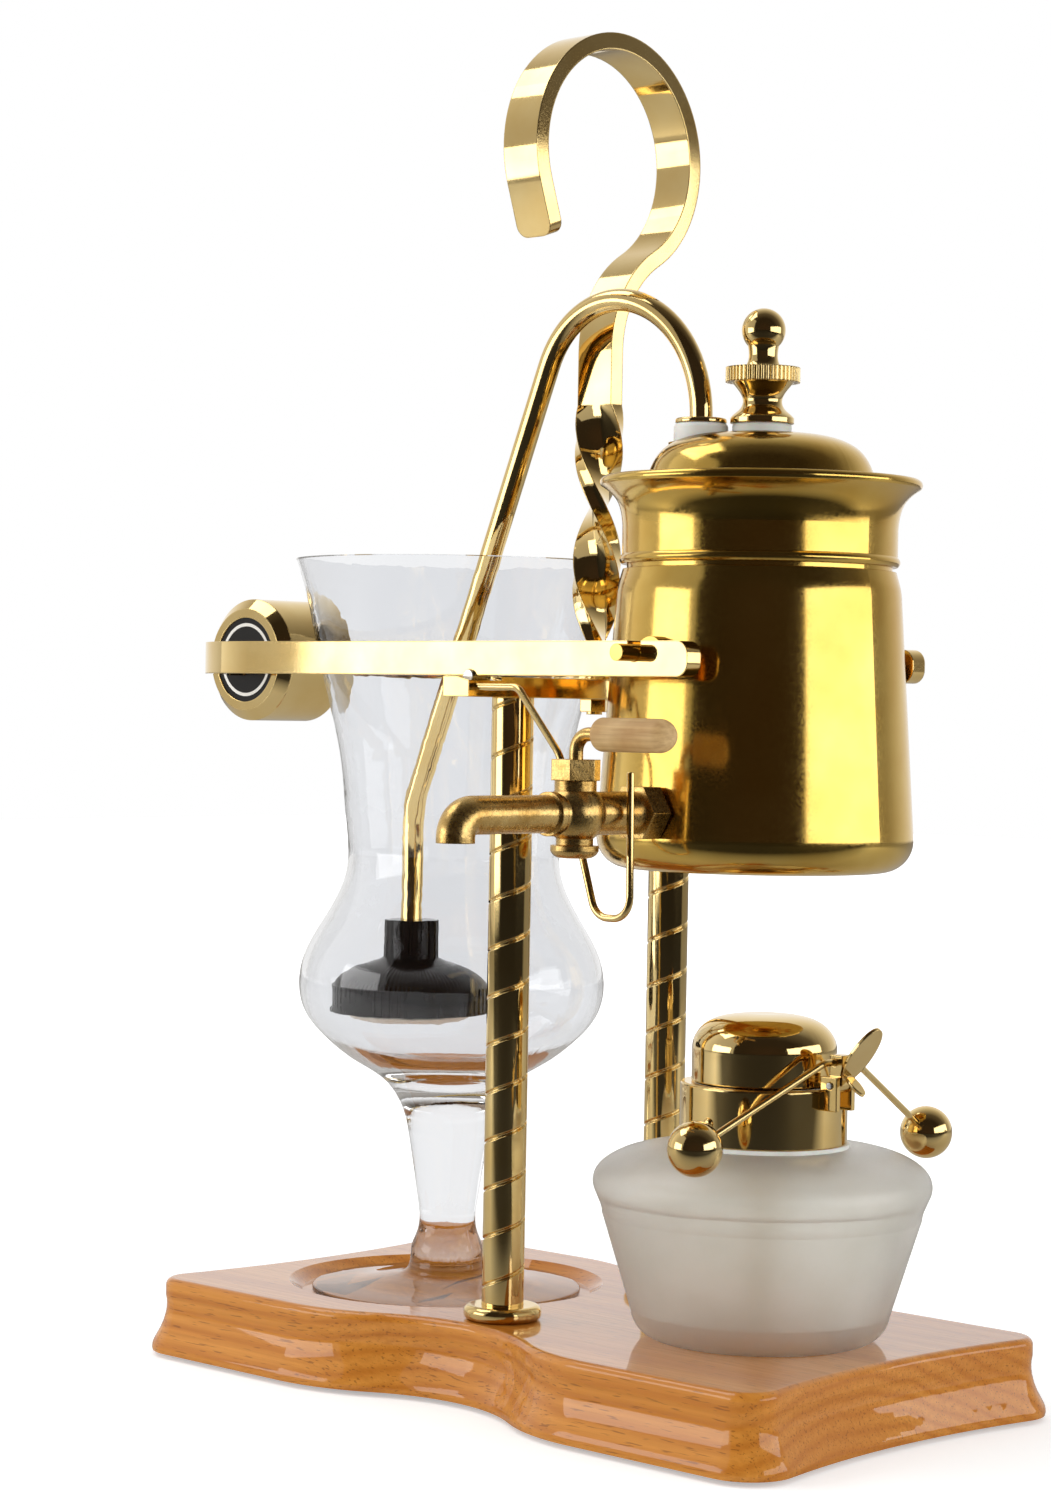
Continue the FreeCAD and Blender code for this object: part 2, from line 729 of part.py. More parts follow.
def make_handle():
    """Flat bar twisted one full turn above its foot, then bent into a round hook at the top."""
    half = amount("strip_thickness") / 2
    width = amount("strip_width")
    low = amount("crossbar_top")
    high = amount("twist_top")
    ring = amount("ring_radius")
    ring_z = low + amount("ring_rise")
    leave = math.radians(amount("ring_exit_angle"))
    tip = math.radians(amount("ring_tip_angle"))
    sway = ring * math.cos(leave) / (1 - math.cos(leave))
    sway_z = ring_z - (ring + sway) * math.sin(leave)

    def around(y, z, radius, angle):
        return Vector(-width / 2, y + radius * math.cos(angle), z + radius * math.sin(angle))

    def side(offset):
        """One face line of the bar: stem, reverse bend, ring and straight tip."""
        near = sway - offset
        far = ring + offset
        bend = [around(sway, sway_z, near, math.pi - part * leave) for part in (0, 0.5, 1)]
        loop = [around(0, ring_z, far, angle) for angle in (-leave, (tip - leave) / 2, tip)]
        ahead = Vector(0, -math.sin(tip), math.cos(tip)) * amount("ring_tip_length")
        start = Vector(-width / 2, offset, high)
        edges = [Part.makeLine(start, bend[0]), Part.Arc(*bend).toShape(),
                 Part.Arc(*loop).toShape(), Part.makeLine(loop[2], loop[2] + ahead)]
        return edges, start, loop[2] + ahead

    right, right_start, right_end = side(half)
    left, left_start, left_end = side(-half)
    rim = right + [Part.makeLine(right_end, left_end)] + left + [Part.makeLine(left_start, right_start)]
    outline = Part.Wire(Part.__sortEdges__(rim))
    hook = Part.Face(outline).extrude(Vector(width, 0, 0))
    tip_corners = []
    for edge in hook.Edges:
        ends = [vertex.Point for vertex in edge.Vertexes]
        spots = [min(abs(p.y - e.y) + abs(p.z - e.z) for e in (right_end, left_end)) for p in ends]
        if max(spots) < 1e-6 and abs(ends[0].x - ends[-1].x) < 1e-6:
            tip_corners.append(edge)
    hook = hook.makeFillet(amount("ring_tip_round"), tip_corners)
    sections = []
    for step in range(25):
        share = step / 24
        corner = [Vector(x, y, 0) for x, y in ((-1, -1), (1, -1), (1, 1), (-1, 1))]
        points = [Vector(c.x * width / 2, c.y * half, high - share * (high - low)) for c in corner]
        turn = FreeCAD.Rotation(Vector(0, 0, 1), 360 * share)
        points = [turn.multVec(point) for point in points]
        sections.append(Part.makePolygon(points + points[:1]))
    twist = Part.makeLoft(sections, True, False)
    stud = cylinder("stud_radius", "stud_length", "0", "0", "crossbar_top - stud_length")
    node("hook_handle", fuse(shaped(hook), shaped(twist), stud))
    nut = hexagon("handle_nut_flats", "handle_nut_height", "0", "0", "post_top - handle_nut_height")
    bore = cylinder("stud_radius + fit_clearance", "handle_nut_height",
                    "0", "0", "post_top - handle_nut_height")
    node("handle_nut", cut(nut, bore))


def make_beam():
    """U-shaped bar: half-round notches over the pivots, open notches for the kettle trunnions."""
    inner = amount("beam_half_gap")
    outer = inner + amount("beam_thickness")
    bend = -amount("beam_bend_x")
    reach = amount("beam_reach")
    low = amount("beam_bottom")

    def at(x, y):
        return Vector(x, y, low)

    edges = [
        Part.makeLine(at(reach, outer), at(bend, outer)),
        Part.Arc(at(bend, outer), at(bend - outer, 0), at(bend, -outer)).toShape(),
        Part.makeLine(at(bend, -outer), at(reach, -outer)),
        Part.makeLine(at(reach, -outer), at(reach, -inner)),
        Part.makeLine(at(reach, -inner), at(bend, -inner)),
        Part.Arc(at(bend, -inner), at(bend - inner, 0), at(bend, inner)).toShape(),
        Part.makeLine(at(bend, inner), at(reach, inner)),
        Part.makeLine(at(reach, inner), at(reach, outer)),
    ]
    bar = Part.Face(Part.Wire(edges)).extrude(Vector(0, 0, amount("beam_height")))
    ends = []
    for edge in bar.Edges:
        first, last = edge.Vertexes[0].Point, edge.Vertexes[-1].Point
        at_end = abs(first.x - reach) < 1e-6 and abs(last.x - reach) < 1e-6
        if at_end and abs(first.z - last.z) < 1e-6:
            ends.append(edge)
    bar = shaped(bar.makeFillet(amount("beam_end_round"), ends))
    span = "2 * beam_half_gap + 4 * beam_thickness"
    start = "- beam_half_gap - beam_thickness - beam_thickness"
    pivots = cylinder("pivot_radius + fit_clearance", span, "0", start, "crossbar_top", "Y")
    seat = cylinder("trunnion_radius + fit_clearance", span, "kettle_x", start, "trunnion_z", "Y")
    mouth = box("2 * trunnion_radius + 2 * fit_clearance", span, "beam_height",
                "kettle_x - trunnion_radius - fit_clearance", start, "trunnion_z")
    node("balance_beam", cut(bar, pivots, seat, mouth))


def make_counterweight():
    """Solid drum threaded on the closed end of the beam, with a disc let into each face."""
    wide = "disc_radius + fit_clearance"
    drum = turned([("0", "disc_recess"), (wide, "disc_recess"), (wide, "0"),
                   ("weight_radius - weight_chamfer", "0"), ("weight_radius", "weight_chamfer"),
                   ("weight_radius", "weight_length - weight_chamfer"),
                   ("weight_radius - weight_chamfer", "weight_length"), (wide, "weight_length"),
                   (wide, "weight_length - disc_recess"), ("0", "weight_length - disc_recess")],
                  "- weight_x", "- weight_half", "beam_mid", "Y")
    slot = box("weight_slot_width", "weight_length + 2", "beam_height + 0.2",
               "- slot_x", "- weight_half - 1", "beam_bottom - 0.2")
    screw_hole = cylinder("grub_radius + fit_clearance", "weight_radius",
                          "- bar_end_x", "0", "beam_mid - weight_radius")
    node("counterweight", cut(drum, slot, screw_hole))
    discs = []
    for y in ("- weight_half + disc_recess - disc_thickness", "weight_half - disc_recess"):
        disc = cylinder("disc_radius", "disc_thickness", "- weight_x", y, "beam_mid", "Y")
        opening = box("weight_slot_width", "weight_length + 2", "beam_height + 0.2",
                      "- slot_x", "- weight_half - 1", "beam_bottom - 0.2")
        discs.append(cut(disc, opening))
    node("counterweight_discs", group(*discs))
    grub = cylinder("grub_radius", "grub_length", "- bar_end_x", "0", "beam_bottom - grub_length")
    socket = hexagon("grub_radius", "grub_radius", "- bar_end_x", "0", "beam_bottom - grub_length")
    node("counterweight_screw", cut(grub, socket))


def make_kettle():
    """Kettle of spun sheet: tapered body, collar with rolled brim, domed lid and two trunnions."""
    inside = "kettle_foot_radius - kettle_wall"
    ledge = "kettle_top_radius - 3.4"
    body = turned([("0", "0"), ("kettle_foot_radius", "0"),
                   ("kettle_body_radius", "kettle_side_height"), ("kettle_top_radius", "kettle_height"),
                   (ledge, "kettle_height"), (ledge, "kettle_height - kettle_wall"),
                   ("kettle_body_radius - kettle_wall", "kettle_side_height - kettle_wall"),
                   (inside, "kettle_wall"), ("0", "kettle_wall")],
                  "kettle_x", "0", "kettle_bottom")
    body = rounded(body, [("kettle_foot_radius", "0", "kettle_corner"),
                          (inside, "kettle_wall", "kettle_corner - kettle_wall"),
                          ("kettle_body_radius", "kettle_side_height", "shoulder_rounding")])
    tap_hole = cylinder("tap_shank_radius + fit_clearance", "kettle_foot_radius + kettle_body_radius",
                        "kettle_x", "0", "tap_z", "-Y")
    node("kettle_body", cut(body, tap_hole))

    bore = "seam_radius - kettle_wall"
    rim = "collar_height"
    spring = "collar_height - 14.5"
    collar = spun([
        [(bore, "0"), ("seam_radius", "0")],
        [("seam_radius", "0"), ("seam_radius", "seam_height")],
        [("seam_radius", "seam_height"), ("collar_radius", "seam_height")],
        [("collar_radius", "seam_height"), ("collar_radius + bead_rise", "seam_height + bead_peak"),
         ("collar_radius", "seam_height + bead_height")],
        [("collar_radius", "seam_height + bead_height"), ("collar_radius", spring)],
        [("collar_radius", spring), ("collar_radius + 0.5", "collar_height - 10.8"),
         ("collar_radius + 2", "collar_height - 6.8"), ("brim_radius - 1.8", "collar_height - 3.6"),
         ("brim_radius - 0.3", "collar_height - 2.6")],
        [("brim_radius - 0.3", "collar_height - 2.6"), ("brim_radius", "collar_height - 1.2"),
         ("brim_radius - 1", rim)],
        [("brim_radius - 1", rim), ("brim_radius - 2.6", "collar_height - 0.9"),
         ("lid_radius + 1", "lid_ledge + 2.8"), ("lid_radius + 0.3", "lid_ledge + 1")],
        [("lid_radius + 0.3", "lid_ledge + 1"), ("lid_radius + 0.3", "lid_ledge")],
        [("lid_radius + 0.3", "lid_ledge"), (bore, "lid_ledge")],
    ], "kettle_x", "0", "collar_bottom")
    node("kettle_collar", collar)

    lid = spun([
        [("lid_radius - 6.5", "0"), ("lid_radius", "0")],
        [("lid_radius", "0"), ("lid_radius", "kettle_wall")],
        [("lid_radius", "kettle_wall"), ("lid_radius - 5.3", "kettle_wall + 0.3")],
        [("lid_radius - 5.3", "kettle_wall + 0.3"), ("lid_flat_radius + 22", "lid_height - 12.6"),
         ("lid_flat_radius + 20.2", "lid_height - 8.4"), ("lid_flat_radius + 17.4", "lid_height - 4.9"),
         ("lid_flat_radius + 13", "lid_height - 2.3"), ("lid_flat_radius + 7", "lid_height - 0.7"),
         ("lid_flat_radius", "lid_height")],
        [("lid_flat_radius", "lid_height"), ("0", "lid_height")],
        [("0", "lid_height"), ("0", "lid_height - kettle_wall")],
        [("0", "lid_height - kettle_wall"), ("lid_flat_radius", "lid_height - kettle_wall")],
        [("lid_flat_radius", "lid_height - kettle_wall"), ("lid_flat_radius + 6.8", "lid_height - 1.9"),
         ("lid_flat_radius + 12.5", "lid_height - 3.4"), ("lid_flat_radius + 16.5", "lid_height - 5.7"),
         ("lid_flat_radius + 19.1", "lid_height - 9"), ("lid_flat_radius + 20.8", "lid_height - 12.9"),
         ("lid_radius - 6.5", "0")],
    ], "kettle_x", "0", "lid_bottom")
    neck = cylinder("cap_stud_radius + 2.6", "cap_stud_length - kettle_wall",
                    "kettle_x", "0", "lid_top - cap_stud_length")
    filler = cylinder("cap_stud_radius + fit_clearance", "cap_stud_length + 1",
                      "kettle_x", "0", "lid_top - cap_stud_length - 1")
    seat = cylinder("stopper_radius + stopper_seat_rim", "stopper_seat_rim",
                    "stopper_x", "- stopper_y", "stopper_seat - stopper_seat_rim")
    sink = cylinder("stopper_radius + beam_gap", "stopper_height",
                    "stopper_x", "- stopper_y", "stopper_seat")
    pipe_hole = cylinder("stopper_plug_radius + fit_clearance", "lid_height",
                         "stopper_x", "- stopper_y", "lid_bottom")
    node("kettle_lid", cut(fuse(lid, neck, seat), filler, pipe_hole, sink))

    trunnions = []
    for axis in ("-Y", "Y"):
        boss = cylinder("trunnion_boss_radius", "trunnion_boss_reach", "kettle_x", "0", "trunnion_z", axis)
        pin = cylinder("trunnion_radius", "trunnion_reach", "kettle_x", "0", "trunnion_z", axis)
        wall = cone("kettle_foot_radius", "kettle_body_radius", "kettle_side_height",
                    "kettle_x", "0", "kettle_bottom")
        trunnions.append(cut(fuse(boss, pin), wall))
    node("kettle_trunnions", group(*trunnions))


def make_siphon():
    """Silicone stopper in the lid, and the tube over the top and down into the filter."""
    hole = "tube_radius + fit_clearance"
    top = "stopper_plug_depth + stopper_height"
    stopper = turned([(hole, "0"), ("stopper_plug_radius", "0"),
                      ("stopper_plug_radius", "stopper_plug_depth"),
                      ("stopper_radius", "stopper_plug_depth"), ("stopper_radius", top), (hole, top)],
                     "stopper_x", "- stopper_y", "stopper_seat - stopper_plug_depth")
    node("stopper", rounded(stopper, [("stopper_radius", top, "stopper_height * 0.25")]))
    washer = turned([(hole, "0"), ("stopper_radius - 0.4", "0"),
                     ("stopper_radius - 0.4", "washer_height"), (hole, "washer_height")],
                    "stopper_x", "- stopper_y", "stopper_top")
    node("stopper_washer", rounded(washer, [("stopper_radius - 0.4", "washer_height",
                                             "washer_height * 0.5")]))
    lean = math.radians(amount("tube_lean"))
    y = -amount("stopper_y")
    up_x = amount("stopper_x")
    down_x = -amount("tube_drop_x")
    shoulder = amount("tube_shoulder_radius")
    arch = amount("tube_arch_radius")
    turn = math.radians(amount("tube_shoulder_turn"))
    first = shoulder * math.tan(turn / 2)
    second = arch * math.tan((math.pi - lean - turn) / 2)
    rise = Vector(up_x, y, amount("lid_top + tube_arch_rise") + first)
    peak = rise + Vector(-math.sin(turn), 0, math.cos(turn)) * (first + second)
    elbow_z = peak.z - (peak.x - down_x) / math.tan(lean)
    points = [Vector(up_x, y, amount("lid_top - tube_dip")), rise, peak,
              Vector(down_x, y, elbow_z), Vector(down_x, y, amount("filter_nut_bottom - 3"))]
    bends = [shoulder, arch, amount("tube_elbow_radius")]
    outside = bent_rod(points, bends, amount("tube_radius"))
    inside = bent_rod(points, bends, amount("tube_radius - tube_wall"))
    node("siphon_tube", shaped(outside.cut(inside)))


def make_filter():
    """Filter at the tube end: ribbed nut, lens-shaped top, ribbed rim with sieve, and cloth."""
    place_x, place_y = "- tube_drop_x", "- stopper_y"
    bore = "tube_radius + fit_clearance"
    nut = place(shaped(toothed_disc(amount("filter_nut_radius"), amount("filter_rib_depth"),
                                    amount("filter_nut_height"), int(amount("filter_nut_ribs")))),
                place_x, place_y, "filter_nut_bottom")
    hole = cylinder(bore, "filter_nut_height", place_x, place_y, "filter_nut_bottom")
    node("filter_nut", cut(nut, hole))
    wide = "filter_radius - 0.8"
    high = "filter_top_height"
    top = spun([
        [("filter_radius - 3", "0"), (wide, "0")],
        [(wide, "0"), ("filter_radius - 2.4", "filter_top_height - 6.6"),
         ("filter_nut_radius + 8", "filter_top_height - 2.8"),
         ("filter_nut_radius + 2", "filter_top_height - 0.8"), ("filter_nut_radius", high)],
        [("filter_nut_radius", high), (bore, high)],
        [(bore, high), (bore, "filter_top_height - 4")],
        [(bore, "filter_top_height - 4"), ("filter_nut_radius + 2", "filter_top_height - 4")],
        [("filter_nut_radius + 2", "filter_top_height - 4"), ("filter_nut_radius + 8", "filter_top_height - 5.4"),
         ("filter_radius - 3", "0")],
    ], place_x, place_y, "filter_rim_top")
    node("filter_top", top)
    rim = place(shaped(toothed_disc(amount("filter_radius"), amount("filter_rib_depth"),
                                    amount("filter_rim_height"), int(amount("filter_rim_ribs")))),
                place_x, place_y, "filter_rim_bottom")
    tools = [cylinder("filter_radius - 3", "filter_rim_height", place_x, place_y, "filter_rim_bottom + 1.6")]
    for ring, count in ((6.0, 6), (12.0, 12), (17.5, 18)):
        for step in range(count):
            angle = 2 * math.pi * step / count
            tools.append(cylinder("1.5", "4", f"- tube_drop_x + {ring * math.cos(angle):.4f}",
                                  f"- stopper_y + {ring * math.sin(angle):.4f}", "filter_rim_bottom - 1"))
    node("filter_base", cut(rim, *tools))
    cloth = spun([
        [("0", "filter_cloth_height"), ("filter_radius - 5.4", "filter_cloth_height")],
        [("filter_radius - 5.4", "filter_cloth_height"), ("filter_radius - 5.4", "filter_cloth_height - 1"),
         ("filter_radius - 7", "filter_cloth_height - 2.2"), ("filter_radius - 10", "0")],
        [("filter_radius - 10", "0"), ("0", "0")],
    ], place_x, place_y, "filter_rim_bottom - filter_cloth_height")
    node("filter_cloth", cloth)


def make_filler_cap():
    """Screw cap over the filler hole: stud, flange, knurled disc and ball, on a silicone gasket."""
    gasket = turned([("cap_stud_radius + fit_clearance", "0"), ("gasket_radius", "0"),
                     ("gasket_radius", "gasket_height"),
                     ("cap_stud_radius + fit_clearance", "gasket_height")], "kettle_x", "0", "lid_top")
    node("filler_gasket", rounded(gasket, [("gasket_radius", "gasket_height", "gasket_height * 0.3")]))
    foot = "cap_stud_length"
    waist = "cap_waist_radius"
    disc = "cap_stud_length + cap_knurl_level"
    over = disc + " + cap_knurl_height"
    crown = "cap_stud_length + cap_ball_level"
    stem = spun([
        [("0", "0"), ("cap_stud_radius", "0")],
        [("cap_stud_radius", "0"), ("cap_stud_radius", foot)],
        [("cap_stud_radius", foot), ("cap_flange_radius", foot)],
        [("cap_flange_radius", foot), ("cap_flange_radius", foot + " + 1.6")],
        [("cap_flange_radius", foot + " + 1.6"), ("cap_waist_radius + 2.5", foot + " + 2.9"),
         ("cap_waist_radius + 0.7", foot + " + 4.6"), (waist, foot + " + 6.6"),
         ("cap_waist_radius + 0.6", disc + " - 3.6"), ("cap_waist_radius + 2", disc + " - 1.6"),
         ("cap_waist_radius + 3.3", disc)],
        [("cap_waist_radius + 3.3", disc), ("cap_waist_radius + 3.3", over)],
        [("cap_waist_radius + 3.3", over), (waist, over)],
        [(waist, over), ("cap_waist_radius - 1", over + " + 1.2"),
         ("cap_waist_radius - 1.5", over + " + 3"), ("cap_waist_radius - 1.2", crown + " - 4.6")],
        [("cap_waist_radius - 1.2", crown + " - 4.6"), ("0", crown)],
    ], "kettle_x", "0", "cap_bottom - cap_stud_length")
    knurl = place(shaped(toothed_disc(amount("cap_knurl_radius"), amount("cap_knurl_depth"),
                                      amount("cap_knurl_height"), int(amount("cap_knurl_count")))),
                  "kettle_x", "0", "cap_bottom + cap_knurl_level")
    knob = ball("cap_ball_radius", "kettle_x", "0", "cap_bottom + cap_ball_level")
    node("filler_cap", fuse(stem, knurl, knob))


def make_tap():
    """Plug tap on the kettle front: nuts, cast body with spout, turning plug, lever and grip."""
    x = "kettle_x"
    wall = "- tap_wall_y"
    nut = hexagon("tap_nut_flats", "tap_nut_length", x, wall, "tap_z", "-Y")
    nut_hole = cylinder("tap_shank_radius + fit_clearance", "tap_nut_length", x, wall, "tap_z", "-Y")
    node("tap_nut", cut(nut, nut_hole))
    inner_face = "- tap_wall_y + kettle_wall + tap_back_gap + tap_back_collar_length"
    back = inner_face + " + tap_back_nut_length"
    back_nut = hexagon("tap_back_nut_flats", "tap_back_nut_length", x, back, "tap_z", "-Y")
    back_collar = cylinder("tap_back_collar_radius", "tap_back_collar_length + 0.5", x, inner_face + " + 0.5",
                           "tap_z", "-Y")
    back_hole = cylinder("tap_shank_radius + fit_clearance", "tap_back_nut_length + tap_back_collar_length",
                         x, back, "tap_z", "-Y")
    node("tap_back_nut", cut(fuse(back_nut, back_collar), back_hole))

    low = "tap_z - tap_ball_radius - 0.2"
    inner = "tap_nut_length + kettle_wall + tap_back_gap + tap_back_collar_length + tap_back_nut_length + 1.5"
    shank = cylinder("tap_shank_radius", inner, x, "- tap_nut_front + " + inner, "tap_z", "-Y")
    neck = cylinder("tap_neck_radius", "tap_ball_y - tap_nut_front", x, "- tap_nut_front", "tap_z", "-Y")
    bulge = ball("tap_ball_radius", x, "- tap_ball_y", "tap_z")
    boss = cylinder("tap_boss_radius", "tap_boss_rise", x, "- tap_ball_y", "tap_z")
    seat = cylinder("tap_cap_radius - 1.6", "tap_ball_radius + 0.2", x, "- tap_ball_y", low)
    ring = cylinder("tap_ring_radius", "2.4", x, "- tap_ring_y", "tap_z", "-Y")
    centre = amount("kettle_x")
    level = amount("tap_z")
    tip = -amount("spout_reach")
    mouth = level - amount("spout_drop")
    bend = [amount("spout_bend_radius")]
    turn = Vector(centre, tip, level)
    end = Vector(centre, tip, mouth)
    spout = bent_rod([Vector(centre, -amount("tap_ball_y"), level), turn, end], bend, amount("spout_radius"))
    channel = bent_rod([Vector(centre, -amount("tap_ring_y"), level), turn, end], bend,
                       amount("spout_bore_radius"))
    outer = fuse(shank, neck, bulge, boss, seat, ring, shaped(spout))
    flow = cylinder("tap_bore_radius", "tap_ring_y", x, "- 2", "tap_z", "-Y")
    plug_hole = cylinder("tap_plug_radius + fit_clearance", "tap_boss_rise + tap_ball_radius + 2",
                         x, "- tap_ball_y", low)
    node("tap_body", cut(outer, shaped(channel), flow, plug_hole))

    gland = hexagon("gland_flats", "gland_height", x, "- tap_ball_y", "tap_boss_top")
    gland_hole = cylinder("lever_radius + fit_clearance", "gland_height", x, "- tap_ball_y", "tap_boss_top")
    node("tap_gland", cut(gland, gland_hole))
    stub = "tap_plug_radius"
    bottom = spun([
        [("0", "0"), ("tap_cap_radius - 4", "0")],
        [("tap_cap_radius - 4", "0"), ("tap_cap_radius - 1", "0.7"), ("tap_cap_radius", "2")],
        [("tap_cap_radius", "2"), ("tap_cap_radius", "tap_cap_height")],
        [("tap_cap_radius", "tap_cap_height"), (stub, "tap_cap_height")],
        [(stub, "tap_cap_height"), (stub, "tap_cap_height + 2")],
        [(stub, "tap_cap_height + 2"), ("0", "tap_cap_height + 2")],
    ], x, "- tap_ball_y", low + " - tap_cap_height")
    node("tap_bottom_cap", bottom)

    plug = cylinder("tap_plug_radius", "tap_boss_rise + tap_ball_radius - 2.4", x, "- tap_ball_y", low + " + 2.3")
    cross = cylinder("tap_bore_radius", "2 * tap_plug_radius + 2", "kettle_x - tap_plug_radius - 1",
                     "- tap_ball_y", "tap_z", "X")
    node("tap_plug", cut(plug, cross))
    front = -amount("tap_ball_y")
    height = amount("lever_z")
    lever = bent_rod([Vector(centre, front, amount(low + " + 2.3 + tap_boss_rise + tap_ball_radius - 2.4")),
                      Vector(centre, front, height),
                      Vector(centre + amount("grip_start + grip_bore_depth"), front, height)],
                     [amount("lever_bend_radius")], amount("lever_radius"))
    node("tap_lever", shaped(lever))
    bore = "lever_radius + fit_clearance"
    wide = "grip_radius"
    far = "grip_length"
    grip = spun([
        [(bore, "0"), ("grip_radius - 1.6", "0")],
        [("grip_radius - 1.6", "0"), ("grip_radius - 0.4", "0.7"), (wide, "2.6")],
        [(wide, "2.6"), (wide, "grip_length - 4.8")],
        [(wide, "grip_length - 4.8"), ("grip_radius - 0.9", "grip_length - 2"),
         ("grip_radius - 2.6", "grip_length - 0.4"), ("grip_radius - 3.6", far)],
        [("grip_radius - 3.6", far), ("0", far)],
        [("0", far), ("0", "grip_bore_depth")],
        [("0", "grip_bore_depth"), (bore, "grip_bore_depth")],
    ], "kettle_x + grip_start", "- tap_ball_y", "lever_z", "X")
    node("tap_grip", grip)


def make_latch():
    """Wire that turns in the crossbar end and hooks under the neck of the tap."""
    side = "- latch_y"
    hook = "- latch_hook_y"
    low = "crossbar_mid - latch_depth"
    end = "- crossbar_half_width - latch_head_gap"
    points = [vector(end, side, "crossbar_mid"), vector("latch_knee_x", side, "crossbar_mid"),
              vector("latch_shin_x", hook, "crossbar_mid - latch_shin_drop"),
              vector("latch_heel_x", hook, low), vector("latch_toe_x", hook, low),
              vector("latch_toe_x - 0.6", hook, "crossbar_mid - latch_tip_depth")]
    bends = [amount("latch_knee_bend"), amount("latch_shin_bend"),
             amount("latch_loop_bend"), amount("latch_loop_bend")]
    wire = shaped(bent_rod(points, bends, amount("latch_radius")))
    head = cylinder("latch_head_radius", "latch_head_height", end, side, "crossbar_mid", "-X")
    node("latch_hook", fuse(wire, head))


def make_glass():
    """Stemmed glass: round bulb below, flared mouth above, solid stem and wide foot."""
    wall = " - glass_wall"
    mouth = "glass_rim_radius"
    neck = "glass_waist_radius"
    bulb = "glass_bulb_radius"
    stem = "glass_stem_radius"
    foot = "glass_foot_radius"
    top = "glass_height"
    upper = [(neck + " + 7.5", top + " - 117"), (neck + " + 0.3", top + " - 100.7"),
             (neck + " + 0.8", top + " - 84.3"), (neck + " + 3.1", top + " - 63.7"),
             (neck + " + 7.3", top + " - 45.1"), (mouth + " - 6.5", top + " - 25.5"),
             (mouth + " - 3.7", top + " - 12.4"), (mouth, top)]
    lower = [(bulb + " - 28.5", top + " - 169.4"), (bulb + " - 18.3", top + " - 162.8"),
             (bulb + " - 9.8", top + " - 156.3"), (bulb + " - 1.8", top + " - 146.5"),
             (bulb, top + " - 137.5"), (bulb + " - 2.3", top + " - 126.8")]
    shaft = [(foot + " - 0.6", "1.8"), (foot + " - 14", "3"), (stem + " + 9", "4.8"),
             (stem + " + 3.2", "7"), (stem + " + 2.2", "9.8"), (stem + " + 1.8", "14.4"),
             (stem + " + 0.2", "18.6"), (stem + " - 0.6", "22"), (stem + " + 0.2", "31"),
             (stem + " + 1.5", "40"), (stem + " + 2.6", "46.5"),
             (stem + " + 4.2", "55.5"), (stem + " + 6.7", "62.1")]
    hollow = [(r + wall, h) for r, h in reversed(upper)]
    hollow += [(r + wall, h) for r, h in reversed(lower[2:])]
    hollow += [(bulb + " - 20.8", top + " - 161.6"), (bulb + " - 32.8", top + " - 165.4"),
               (bulb + " - 42", top + " - 166.4")]
    glass = spun([
        [("0", "0"), (foot, "0")],
        [(foot, "0"), (foot, "1")],
        [(foot, "1"), (foot + " - 0.1", "1.5"), (foot + " - 0.6", "1.8")],
        shaft + lower + upper,
        [(mouth, top), (mouth + wall, top)],
        hollow,
        [hollow[-1], ("0", top + " - 166.4")],
    ], "- glass_x", "0", "recess_floor")
    node("goblet", glass)


